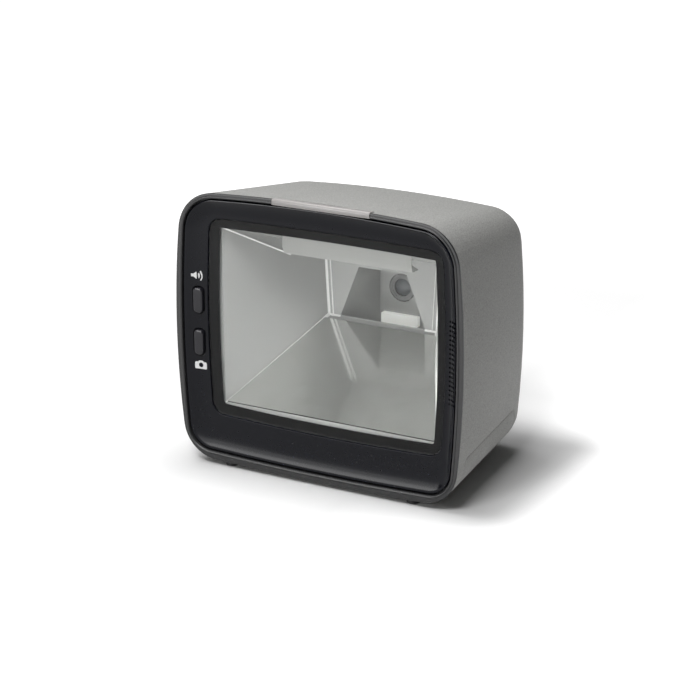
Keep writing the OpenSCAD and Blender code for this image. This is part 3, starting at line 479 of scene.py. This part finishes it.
# %% Outlines of the body, the front ring and the window
BODY_W, BODY_H, BODY_D = 152.0, 134.5, 95.0
SIDE_BOW, TOP_BOW, BASE_BOW = 5.0, 3.4, 1.9
# How fast the sides, the top and the base draw in toward the back, from their angles in degrees.
K_SIDE, K_TOP, K_BASE = (math.tan(math.radians(a)) for a in (5.8, 8, 2.4))
RIM_W, RIM_TOP, RING_LOW, RING_RISE, RING_SIDE_R = 2.1, 1.25, 2.8, 1, 600
RING_CORNERS, BODY_CORNERS, CORNER_FALL = (19.0, 13.8), (20.6, 17.8), 3.9
BACK_TOP_R = 720
OPTICS_X = 3.0


def bow_radius(bow, span):
    """Radius of an arc that bows out by a given amount over a span."""
    return (bow ** 2 + span ** 2 / 4) / (2 * bow)


SIDE_R = bow_radius(SIDE_BOW, BODY_H)
TOP_R = bow_radius(TOP_BOW, BODY_W)
BASE_R = bow_radius(BASE_BOW, BODY_W)


def ring_outline(y):
    """The outer edge of the lip, which falls with the housing's top."""
    high = BODY_H - RIM_TOP - max(y, 0) * K_TOP
    return Outline(BODY_W / 2 - RIM_W, BODY_H / 2 + RING_RISE, RING_LOW, high,
                   RING_SIDE_R, TOP_R, BASE_R, *RING_CORNERS)


def body_outline(y):
    """The housing's outline at depth y: smaller and flatter on top toward the back."""
    low, high, back = y * K_BASE, BODY_H - y * K_TOP, y / BODY_D
    top_r = 1 / ((1 - back) / TOP_R + back / BACK_TOP_R)
    return Outline(BODY_W / 2 - y * K_SIDE, (low + high) / 2, low, high, SIDE_R, top_r, BASE_R,
                   BODY_CORNERS[0] - CORNER_FALL * back, BODY_CORNERS[1])


clear_outline = Outline(57.8, 71.625, 27.2, 116.05, 630, 1960, 1240, 0.8, 1.6)
panel_outline = Outline(62.5, 71.625, 22.5, 120.75, 630, 1960, 1240, 6.6, 6.6)
front_ring = ring_outline(0)
print("points in an outline:", len(loop(clear_outline)))

# %% [markdown]
# A loft joins such outlines like the hoops of a barrel. Here the last hoop joins the first again,
# which gives a closed frame. A loft is better than a bevelled CAD mesh for glossy pieces, because
# its even quads carry smooth highlights round the corners.


# %% Loft a closed frame
def row(s, y, cx=0.0):
    """One hoop: an outline at depth y, moved sideways by cx."""
    return [at(x + cx, y, z) for x, z in loop(s)]


def mesh_object(name, verts, faces, material):
    mesh = bpy.data.meshes.new(name)
    mesh.from_pydata([tuple(v) for v in verts], [], faces)
    mesh.validate()
    bm = bmesh.new()
    bm.from_mesh(mesh)
    bmesh.ops.recalc_face_normals(bm, faces=bm.faces)
    bm.to_mesh(mesh)
    bm.free()
    for f in mesh.polygons:
        f.use_smooth = True
    obj = bpy.data.objects.new(name, mesh)
    scene.collection.objects.link(obj)
    mesh.materials.append(material)
    return obj


def hoop_quads(n, i, j):
    """Quads between hoop i and hoop j of n points each."""
    return [(i * n + k, i * n + (k + 1) % n, j * n + (k + 1) % n, j * n + k) for k in range(n)]


def loft_frame(name, rows, material):
    n, m = len(rows[0]), len(rows)
    faces = [quad for i in range(m) for quad in hoop_quads(n, i, (i + 1) % m)]
    return mesh_object(name, [v for r in rows for v in r], faces, material)


def crisp(obj, degrees):
    """Smooth shading that still breaks at real edges."""
    edges = obj.modifiers.new("edges", "EDGE_SPLIT")
    edges.split_angle = math.radians(degrees)
    return obj


def stand_for(obj, node, body="scanner"):
    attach(obj, body)
    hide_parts(node)
    return obj


print("loft helpers ready")

# %% [markdown]
# Holes and notches are taken out with a Boolean. Its tool is a straight bar pushed along the depth,
# and it is removed as soon as the cut is done. Pieces that only touch are joined as plain meshes.

# %% Cut, push out and join
PAST = 1


def cut(obj, tool):
    """Take a shape out of an object's mesh, then remove the shape."""
    mod = obj.modifiers.new("cut", "BOOLEAN")
    mod.operation = "DIFFERENCE"
    mod.solver = "EXACT"
    mod.object = tool
    bpy.context.view_layer.update()
    graph = bpy.context.evaluated_depsgraph_get()
    done = bpy.data.meshes.new_from_object(obj.evaluated_get(graph))
    obj.modifiers.remove(mod)
    obj.data = done
    bpy.data.objects.remove(tool)


def push_out(name, outlines, y0, y1, material):
    """Straight bars along the depth, one for each outline."""
    verts, faces = [], []
    for pts in outlines:
        k, n = len(verts), len(pts)
        verts += [at(x, y0, z) for x, z in pts] + [at(x, y1, z) for x, z in pts]
        faces += [tuple(range(k, k + n)), tuple(range(k + 2 * n - 1, k + n - 1, -1))]
        faces += [(k + i, k + n + i, k + n + (i + 1) % n, k + (i + 1) % n) for i in range(n)]
    return mesh_object(name, verts, faces, material)


def join_into(obj, *others):
    """Add the meshes of other objects to an object, then remove the others."""
    bm = bmesh.new()
    for part in (obj, *others):
        bm.from_mesh(part.data)
    bm.to_mesh(obj.data)
    bm.free()
    for part in others:
        bpy.data.objects.remove(part)


def disc(x, z, r, n=24):
    turns = [2 * math.pi * k / n for k in range(n)]
    return [(x + r * math.cos(a), z + r * math.sin(a)) for a in turns]


def oblong(x0, x1, z0, z1):
    return [(x0, z0), (x1, z0), (x1, z1), (x0, z1)]


print("a cutting bar runs at least", PAST, "mm past what it goes through")

# %% [markdown]
# ## Front frame
# The black frame carries everything at the front. A narrow rolled lip shows, with a dull rim outside
# it that covers the housing's edge, and the dark groove inside it. Lip and rim are drawn with many
# hoops, so that each catches a thin line of light all the way round.

# %% Front frame with a rolled lip
LAND_Y, POCKET_Y, LEDGE_Y, WEB_Y = 3.0, 5.0, 6.3, 8.0
LIP_W, LIP_Y, LIP_FALL, LIP_ROLL, LIP_STEPS = 1.3, 0.4, 0.3, 0.75, 12
RIM_T, RIM_Y, RIM_EDGE, RIM_ROUND, RIM_STEPS = 1.2, 4.4, 0.5, 0.4, 4
SKIRT_IN, OPENING_OUT, PANEL_GAP, GROOVE_GAP = 2.65, 1.2, 0.25, 0.1
POCKET_IN, LAND_IN = 6.1, 5.9


def lip_row(i):
    a = math.pi * i / LIP_STEPS
    y = LIP_Y - LIP_FALL * i / LIP_STEPS - LIP_ROLL * math.sin(a)
    return row(inset(front_ring, LIP_W / 2 + LIP_W / 2 * math.cos(a)), y)


def rim_row(i):
    a = math.pi / 2 * i / RIM_STEPS
    y = RIM_EDGE - RIM_ROUND * math.cos(a)
    return row(inset(body_outline(y), RIM_EDGE - RIM_EDGE * math.sin(a)), y)


def skirt_row(y):
    return row(inset(body_outline(y), SKIRT_IN), y)


opening = inset(clear_outline, -OPENING_OUT)
seat = inset(panel_outline, -PANEL_GAP)
frame_rows = [lip_row(i) for i in range(LIP_STEPS + 1)]
frame_rows += [rim_row(i) for i in range(RIM_STEPS + 1)]
frame_rows += [row(body_outline(RIM_T), RIM_T), row(ring_outline(RIM_T), RIM_T)]
frame_rows += [row(ring_outline(RIM_Y), RIM_Y), skirt_row(RIM_Y), skirt_row(WEB_Y)]
frame_rows += [row(opening, WEB_Y, OPTICS_X), row(opening, LEDGE_Y, OPTICS_X)]
frame_rows += [row(seat, LEDGE_Y, OPTICS_X), row(seat, POCKET_Y, OPTICS_X)]
frame_rows += [row(inset(front_ring, POCKET_IN), POCKET_Y), row(inset(front_ring, LAND_IN), LAND_Y)]
frame_rows += [row(inset(front_ring, LIP_W + GROOVE_GAP), LAND_Y)]
front_lip = loft_frame("front_lip", frame_rows, lip_black)
print("front frame faces:", len(front_lip.data.polygons))

# %% [markdown]
# The light bar lies in a notch in the frame's top edge, and its board in a deeper one behind. Both
# are cut with a Boolean, because a straight box through a curved lip gives the crisp ends that the
# real frame has.

# %% Notches for the light bar and its board
LIGHT_L, LIGHT_H, LIGHT_X, LIGHT_GAP = 50.6, 3.0, 3.4, 0.15
BAR_UNDER, BAR_BACK, BOARD_LOW, NOTCH_PAST = 0.3, 4.55, 128.35, 3
bar_x0, bar_x1 = LIGHT_X - LIGHT_L / 2 - LIGHT_GAP, LIGHT_X + LIGHT_L / 2 + LIGHT_GAP
bar_low = BODY_H - LIGHT_H - BAR_UNDER
for low, front, back in ((bar_low, -NOTCH_PAST, BAR_BACK), (BOARD_LOW, LAND_Y, WEB_Y + PAST)):
    notch = oblong(bar_x0, bar_x1, low, BODY_H + NOTCH_PAST)
    cut(front_lip, push_out("notch", [notch], front, back, lip_black))
print("front frame after the notches:", len(front_lip.data.polygons))

# %% [markdown]
# ## Bezel
# The bezel is a shallow dish between the groove and the window: steep at its outer crest and flat at
# the glass. A power curve gives that hollow. In the photograph it is what bends the reflections along
# the chin and down the two sides.

# %% Bezel dish
CREST_Y, EDGE_IN, CREST_IN, SHOULDER_R, SHOULDER_STEPS = 0.45, 1.9, 2.6, 0.7, 5
DISH, DISH_POWER, DISH_STEPS, DISH_END_OUT = 2.2, 2.6, 16, 0.6
TURN_OUT, TURN_DROP, SEAT_DROP = 0.3, 0.08, 0.25
BEZEL_BACK_IN, SEAT_GAP = 6.3, 0.05
crest = loop(inset(front_ring, CREST_IN))
rim = loop(inset(panel_outline, -DISH_END_OUT))


def shoulder_row(i):
    a = math.pi / 2 * i / SHOULDER_STEPS
    y = CREST_Y + SHOULDER_R * (1 - math.sin(a))
    return row(inset(front_ring, EDGE_IN + SHOULDER_R * (1 - math.cos(a))), y)


def dish_row(u):
    """A hoop of the dish, from the crest (u = 0) to the window (u = 1)."""
    y = CREST_Y + DISH * (1 - (1 - u) ** DISH_POWER)
    return [at(a[0] * (1 - u) + (b[0] + OPTICS_X) * u, y, a[1] * (1 - u) + b[1] * u)
            for a, b in zip(crest, rim)]


dish_y, foot_y = CREST_Y + DISH, LAND_Y - SEAT_GAP
bezel_rows = [row(inset(front_ring, EDGE_IN), foot_y)]
bezel_rows += [shoulder_row(i) for i in range(SHOULDER_STEPS)]
bezel_rows += [dish_row(i / DISH_STEPS) for i in range(DISH_STEPS + 1)]
bezel_rows += [row(inset(panel_outline, -TURN_OUT), dish_y + TURN_DROP, OPTICS_X)]
bezel_rows += [row(seat, dish_y + SEAT_DROP, OPTICS_X)]
bezel_rows += [row(seat, POCKET_Y, OPTICS_X), row(inset(front_ring, BEZEL_BACK_IN), POCKET_Y)]
bezel_rows += [row(inset(front_ring, BEZEL_BACK_IN), foot_y)]
dish_bezel = loft_frame("dish_bezel", bezel_rows, gloss_black)
print("bezel faces:", len(dish_bezel.data.polygons))

# %% [markdown]
# The signs are laid on the dish later, when it already has openings, and a ray can fall through an
# opening. So the whole dish is kept here as a search tree, which answers quickly where a ray meets it.

# %% The dish as a surface to lay things on
bpy.context.view_layer.update()
dish_tree = BVHTree.FromObject(dish_bezel, bpy.context.evaluated_depsgraph_get())
RAY_START_Y, CHIN_Z = -30, 12


def dish_point(x, z, lift=0.0):
    """The point of the bezel straight behind x and z, lifted a little toward the front."""
    hit = dish_tree.ray_cast(at(x, RAY_START_Y, z), Vector((0, 1, 0)))[0]
    return hit + Vector((0, -lift / PER_METRE, 0))


print("dish at the middle of the chin:", [round(c, 4) for c in dish_point(0, CHIN_Z)])

# %% [markdown]
# Two rounded openings let the buttons through, and three rows of small round holes make the speaker
# grille. All are pushed through the dish as one Boolean, so that each mouth follows its hollow.

# %% Button openings and the speaker grille
BUTTON_X, BUTTON_ZS, BUTTON_W, BUTTON_L, BUTTON_R = -64.5, (79.3, 58.5), 5.0, 12.4, 1.9
GRILLE_XS, GRILLE_Z, GRILLE_N, GRILLE_PITCH, GRILLE_R = (68.25, 69.7, 70.95), 69.7, 19, 2.15, 0.54
KEY_GAP, OPENINGS_FROM_Y = 0.65, -2
QUARTERS = ((1, 1), (-1, 1), (-1, -1), (1, -1))


def key_outline(z, grow=0.0, n=8):
    """Rounded rectangle of a button, larger all round by a given amount."""
    r, hx, hz = BUTTON_R + grow, BUTTON_W / 2 - BUTTON_R, BUTTON_L / 2 - BUTTON_R
    return [(BUTTON_X + sx * hx + r * math.cos(a), z + sz * hz + r * math.sin(a))
            for q, (sx, sz) in enumerate(QUARTERS)
            for a in [math.pi / 2 * (q + i / n) for i in range(n + 1)]]


grille_half = GRILLE_PITCH * (GRILLE_N - 1) / 2
grille_zs = [GRILLE_Z - grille_half + i * GRILLE_PITCH for i in range(GRILLE_N)]
openings = [key_outline(z, KEY_GAP) for z in BUTTON_ZS]
openings += [disc(x, z, GRILLE_R, n=16) for x in GRILLE_XS for z in grille_zs]
cut(dish_bezel, push_out("openings", openings, OPENINGS_FROM_Y, POCKET_Y + PAST, gloss_black))
crisp(stand_for(dish_bezel, "bezel"), degrees=38)
print("bezel with", len(openings), "openings:", len(dish_bezel.data.polygons))

# %% [markdown]
# The frame behind the bezel has its own openings: a wider one behind each button, a slot that lets
# the speaker's sound through to the grille, and round posts for the screws. They are mostly hidden,
# but the slot is why the grille's holes look black, and the buttons need room to move.

# %% Openings and screw posts of the frame
SCREW_AT = [(s * x, z) for s in (-1, 1) for x, z in ((59.7, 122.2), (66.8, 32.0))]
BUTTON_POSTS = [(BUTTON_X, z) for z in (91.5, 68.9, 46.3)]
SPEAKER_POSTS = [(65.4, z) for z in (46.1, 93.3)]
FLANGE_ROOM, SCREW_HEAD_R, SLOT_X0, SLOT_X1, SLOT_PAST = 1.75, 2.8, 67.05, 71.55, 1.4
# Places, outer radius, bore radius and end depth of each kind of post.
POSTS = ((SCREW_AT, 3.5, 1.6, 13.0), (BUTTON_POSTS, 2.4, 0.85, 14.1), (SPEAKER_POSTS, 2.4, 0.85, 13.0))
POST_ROOT, HOLES_FROM_Y = 0.02, LAND_Y - 0.5
slot_half = grille_half + SLOT_PAST
holes = [key_outline(z, FLANGE_ROOM) for z in BUTTON_ZS]
holes += [oblong(SLOT_X0, SLOT_X1, GRILLE_Z - slot_half, GRILLE_Z + slot_half)]
holes += [disc(x, z, SCREW_HEAD_R) for x, z in SCREW_AT]
cut(front_lip, push_out("frame_holes", holes, HOLES_FROM_Y, WEB_Y + PAST, lip_black))
for places, post_r, bore_r, end_y in POSTS:
    posts = push_out("posts", [disc(x, z, post_r) for x, z in places], WEB_Y - POST_ROOT, end_y, lip_black)
    bores = [disc(x, z, bore_r, n=16) for x, z in places]
    cut(posts, push_out("bores", bores, WEB_Y - PAST, end_y + PAST, lip_black))
    join_into(front_lip, posts)
crisp(stand_for(front_lip, "front_frame"), degrees=40)
print("front frame with holes and posts:", len(front_lip.data.polygons))

# %% [markdown]
# ## Buttons and their signs
# Each button is a small rounded plate with a softly crowned face in a dark recess. A flange behind
# the bezel keeps it from falling out, and a stem pushes the switch. The cap is a loft of its own
# outline, drawn in step by step, which rounds the edge without a modifier.

# %% Crowned buttons
FLANGE_OUT, FLANGE_Y, STEM_Y, STEM_END_Y, STEM_R = 1.35, 5.3, 6.5, 9.6, 1.7
# How far each hoop of the cap is drawn in, and its depth.
CAP_STEPS = ((0.0, FLANGE_Y), (0.0, 1.45), (0.06, 1.25), (0.2, 1.08), (0.42, 0.97), (0.75, 0.90),
             (1.2, 0.86), (1.8, 0.84))


def button_cap(name, node, z):
    rows = [[at(x, y, high) for x, high in key_outline(z, -d)] for d, y in CAP_STEPS]
    n, last = len(rows[0]), len(rows) - 1
    faces = [quad for i in range(last) for quad in hoop_quads(n, i, i + 1)]
    faces += [tuple(range(last * n, (last + 1) * n)), tuple(range(n - 1, -1, -1))]
    cap = mesh_object(name, [v for r in rows for v in r], faces, button_satin)
    flange = push_out(name + "_flange", [key_outline(z, FLANGE_OUT)], FLANGE_Y, STEM_Y, button_satin)
    stem = push_out(name + "_stem", [disc(BUTTON_X, z, STEM_R)], STEM_Y, STEM_END_Y, button_satin)
    join_into(cap, flange, stem)
    stand_for(cap, node, node)
    return crisp(cap, degrees=35)


volume_cap = button_cap("volume_cap", "volume_button", BUTTON_ZS[0])
capture_cap = button_cap("capture_cap", "capture_button", BUTTON_ZS[1])
print("buttons:", volume_cap.name, capture_cap.name)

# %% [markdown]
# Small white pad prints beside the buttons show a speaker and a camera. Each print is cut as a thin
# sheet and laid on the dish by casting rays at it, so that it follows the hollow. An image would do
# on a flat face, but a sheet stays sharp at any size.

# %% Lay a print on the bezel
INK_LIFT, INK_T = 0.02, 0.00003


def pad_print(name, outlines):
    """A thin printed sheet: each outline is filled, divided finely and laid on the dish."""
    bm = bmesh.new()
    for pts in outlines:
        f = bm.faces.new([bm.verts.new((x, 0, z)) for x, z in pts])
        bmesh.ops.triangulate(bm, faces=[f])
    bmesh.ops.subdivide_edges(bm, edges=bm.edges[:], cuts=2, use_grid_fill=True)
    for v in bm.verts:
        v.co = dish_point(v.co.x, v.co.z, INK_LIFT)
    mesh = bpy.data.meshes.new(name)
    bm.to_mesh(mesh)
    bm.free()
    mesh.materials.append(white_print)
    obj = bpy.data.objects.new(name, mesh)
    scene.collection.objects.link(obj)
    ink = obj.modifiers.new("ink", "SOLIDIFY")
    ink.thickness = INK_T
    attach(obj, "scanner")
    return obj


print("ink thickness:", INK_T * PER_METRE, "mm")

# %% [markdown]
# The speaker sign is a magnet, a horn and two bent bars of sound. One outline for the whole sign isn't
# possible, because the bars stand free, so each part is a filled outline of its own.

# %% Speaker sign
SPEAKER_X, SPEAKER_Z = -68.0, 91.2
MAGNET_W, MAGNET_H, HORN_W, HORN_H = 1.1, 0.7, 2.7, 1.8
WAVE_FROM, WAVE_T = 2.3, 0.55
WAVES = ((1.55, 40), (3.0, 44))


def wave(r, spread, n=8):
    """A bent bar of sound in front of the horn, over twice the spread in degrees."""
    cx = SPEAKER_X + WAVE_FROM
    turn = [math.radians(-spread + 2 * spread * i / n) for i in range(n + 1)]
    outer, inner = r + WAVE_T, r
    return ([(cx + outer * math.cos(a), SPEAKER_Z + outer * math.sin(a)) for a in turn]
            + [(cx + inner * math.cos(a), SPEAKER_Z + inner * math.sin(a)) for a in reversed(turn)])


horn_x, mouth_x = SPEAKER_X + MAGNET_W, SPEAKER_X + HORN_W
magnet = oblong(SPEAKER_X, horn_x, SPEAKER_Z - MAGNET_H, SPEAKER_Z + MAGNET_H)
horn = [(horn_x, SPEAKER_Z - MAGNET_H), (mouth_x, SPEAKER_Z - HORN_H),
        (mouth_x, SPEAKER_Z + HORN_H), (horn_x, SPEAKER_Z + MAGNET_H)]
speaker_sign = pad_print("speaker_sign", [magnet, horn] + [wave(r, spread) for r, spread in WAVES])
print("speaker sign corners:", len(speaker_sign.data.vertices))

# %% [markdown]
# The camera sign has a round hole for its lens. A filled outline can't have a hole, so the sign is a
# wheel of narrow quads: each runs along a spoke from the lens to the camera's edge.

# %% Camera sign
CAMERA_SIGN_X, CAMERA_SIGN_Z, LENS_HOLE_R, SPOKES = -64.05, 46.9, 1.15, 16
HALF_CAMERA = [(0, 2.2), (0.9, 2.2), (1.45, 1.6), (2.65, 1.55), (3.05, 1.15), (3.05, -1.55),
               (2.65, -1.95), (0, -1.95)]
FAR_OFF, CLOSE, PARALLEL = 9.0, 1e-6, 1e-9
case = HALF_CAMERA + [(-x, z) for x, z in HALF_CAMERA[-2:0:-1]]


def reach(a):
    """Distance from the lens to the camera's edge in the direction a."""
    best = FAR_OFF
    for (x0, z0), (x1, z1) in zip(case, case[1:] + case[:1]):
        turn = math.cos(a) * (z1 - z0) - math.sin(a) * (x1 - x0)
        if abs(turn) > PARALLEL:
            far = (x0 * (z1 - z0) - z0 * (x1 - x0)) / turn
            along = (x0 * math.sin(a) - z0 * math.cos(a)) / turn
            if far > 0 and -CLOSE <= along <= 1 + CLOSE:
                best = min(best, far)
    return best


def on_spoke(a, r):
    return (CAMERA_SIGN_X + math.cos(a) * r, CAMERA_SIGN_Z + math.sin(a) * r)


corner_turns = {round(math.atan2(z, x), 5) for x, z in case}
even_turns = {round(math.pi * i / SPOKES, 5) for i in range(1 - SPOKES, SPOKES + 1)}
turns = sorted(corner_turns | even_turns)
quads = [[on_spoke(a, LENS_HOLE_R), on_spoke(a, reach(a)), on_spoke(b, reach(b)), on_spoke(b, LENS_HOLE_R)]
         for a, b in zip(turns, turns[1:] + turns[:1])]
camera_sign = pad_print("camera_sign", quads)
print("camera sign spokes:", len(turns), "corners:", len(camera_sign.data.vertices))

# %% [markdown]
# ## Chamber corners
# The light box behind the glass is moulded with small hollow fillets in its corners. Each shows as a
# thin bright line, partly from its real gloss and partly from a painted highlight: the fillets are
# coloured near white, far lighter than the chamber's own grey. These lines are what makes the eye read
# the box as deep. A fillet is swept along each corner from the two walls that meet there: one arc at
# each end, joined by a strip of quads.

# %% Shape of the chamber and of one fillet
MOUTH_W, MOUTH_Y, MOUTH_Z0, MOUTH_Z1 = 57.2, 7.0, 27.8, 115.6
SHEET_Y, SHEET_Z = 8.2, 28.6
KNEE_W, KNEE_Y, KNEE_Z = 39.37, 41.0, 96.0
REAR_W, REAR_Y, REAR_Z0, REAR_SPREAD, PORT_IN = 29.4, 60.0, 62.2, 2, 6.4
RIB_IN, RIB_OUT = 2.2, 10
FLOOR_R, WALL_R, RIB_R, TRIM_R = 1.0, 0.7, 0.5, 0.6


def fillet(start, end, wall_a, wall_b, r, n=6):
    """Two end arcs of a hollow fillet; wall_a and wall_b are points on the walls that meet."""
    along = (end - start).normalized()
    u, v = ((w - start - (w - start).dot(along) * along).normalized() for w in (wall_a, wall_b))
    turns = [math.pi / 2 * i / n for i in range(n + 1)]
    hollow = [r / PER_METRE * (u * (1 - math.sin(a)) + v * (1 - math.cos(a))) for a in turns]
    return [p + step for p in (start, end) for step in [Vector((0, 0, 0))] + hollow]


def corner_runs(side):
    """Start, end, a point on each wall, and radius of every fillet on one side of the chamber."""
    mouth = at(OPTICS_X + side * MOUTH_W, SHEET_Y, SHEET_Z)
    other_mouth = at(OPTICS_X - side * MOUTH_W, SHEET_Y, SHEET_Z)
    back = at(OPTICS_X + side * REAR_W, REAR_Y, REAR_Z0)
    top = at(OPTICS_X + side * (REAR_W + REAR_SPREAD), REAR_Y, KNEE_Z)
    brow = at(OPTICS_X + side * MOUTH_W, MOUTH_Y, MOUTH_Z1)
    knee = at(OPTICS_X + side * KNEE_W, KNEE_Y, KNEE_Z)
    port = at(OPTICS_X + side * (REAR_W - PORT_IN), REAR_Y, REAR_Z0)
    rear, ceiling = at(OPTICS_X, REAR_Y, REAR_Z0), at(OPTICS_X, MOUTH_Y, MOUTH_Z1)
    rib = Vector((-side * RIB_IN / PER_METRE, 0, 0))
    rib_front = back + rib + Vector((0, -RIB_OUT / PER_METRE, 0))
    return [(mouth, back, top, other_mouth, FLOOR_R), (back, top, mouth, rear, WALL_R),
            (back + rib, top + rib, rib_front, rear, RIB_R), (brow, knee, back, ceiling, TRIM_R),
            (back, port, at(OPTICS_X, MOUTH_Y, MOUTH_Z0), top, TRIM_R)]


print("fillets on each side:", len(corner_runs(1)))

# %% [markdown]
# All fillets of both sides go into one mesh, because they share one finish and never move apart.

# %% Hollow fillets in the chamber's corners
verts, faces = [], []
for side in (-1, 1):
    for run in corner_runs(side):
        points = fillet(*run)
        first, n = len(verts), len(points) // 2
        faces += [tuple(first + k for k in quad) for quad in hoop_quads(n, 0, 1)]
        verts += points
chamber_corners = crisp(mesh_object("chamber_corners", verts, faces, painted_corner_highlight), degrees=40)
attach(chamber_corners, "scanner")
print("chamber corners:", len(faces), "faces")

# %% [markdown]
# ## CAD pieces that keep their own mesh
# Most pieces are right as they are and only need a finish. Their curved faces are made of narrow
# flats, so each mesh gets smooth shading: a weld joins its split corners and an edge split keeps the
# real edges sharp. Both are modifiers, so the CAD mesh itself stays as it was packed.

# %% Smooth shading for CAD nodes
WELD_M, SHARP_EDGE, BEVEL_EDGE, BEVEL_STEPS = 2e-6, 28, 50, 3


def dress(name, material, bevel):
    o = nodes[name]
    o.data.materials.clear()
    o.data.materials.append(material)
    for f in o.data.polygons:
        f.material_index = 0
        f.use_smooth = True
    if "custom_normal" in o.data.attributes:
        o.data.attributes.remove(o.data.attributes["custom_normal"])
    weld = o.modifiers.new("weld", "WELD")
    weld.merge_threshold = WELD_M
    if bevel:
        soft = o.modifiers.new("soft_edges", "BEVEL")
        soft.width = bevel / PER_METRE
        soft.segments = BEVEL_STEPS
        soft.limit_method = "ANGLE"
        soft.angle_limit = math.radians(BEVEL_EDGE)
    crisp(o, SHARP_EDGE)


print("edges sharper than", SHARP_EDGE, "degrees stay crisp")

# %% [markdown]
# One table says which finish each piece gets, and a second which pieces have their edges softened.
# The four pieces that the lofts stand for aren't in it.

# %% A finish for every piece
FINISH = {
    housing_grey: "rear_housing",
    base_grey: "base_cover",
    foot_rubber: "front_feet rear_feet speaker_gasket",
    insert_brass: "mount_inserts host_contacts",
    screw_steel: "base_screws frame_screws button_screws speaker_screws tub_screws"
                 " camera_screws board_screws",
    window_clear: "window_glass",
    lens_glass: "front_lens",
    border_black: "window_mask",
    bar_milk: "light_bar",
    lamp_milk: "illum_lens",
    led_cream: "light_bar_leds illum_leds",
    board_green: "light_bar_board button_board camera_board illum_board main_board",
    socket_black: "volume_plunger capture_plunger button_switches speaker_basket speaker_cone"
                  " host_socket power_jack",
    chip_black: "main_processor memory_chips image_sensor",
    tin_plate: "shield_can aux_socket speaker_magnet",
    cream_moulded: "illum_connector lead_connectors flex_connectors aux_tongue",
    lead_red: "speaker_leads",
    lead_dark: "button_leads",
    amber_film: "camera_flex",
    cap_sleeve: "capacitors",
    chamber_grey: "optics_tub",
    hood_grey: "tub_hood",
    barrel_grey: "lens_holder lens_barrel",
    mirror_silver: "floor_mirror",
}
# Width of the softened edges in millimetres.
BEVELS = {"rear_housing": 0.22, "base_cover": 0.35, "light_bar": 0.3, "front_feet": 0.4, "rear_feet": 0.5,
          "illum_lens": 0.5, "tub_hood": 0.3}
dressed = set()
for finish, names in FINISH.items():
    for name in names.split():
        dress(name, finish, BEVELS.get(name, 0.0))
        dressed.add(name)
print("kept CAD nodes dressed:", len(dressed), "replaced:", sorted(set(nodes) - dressed))
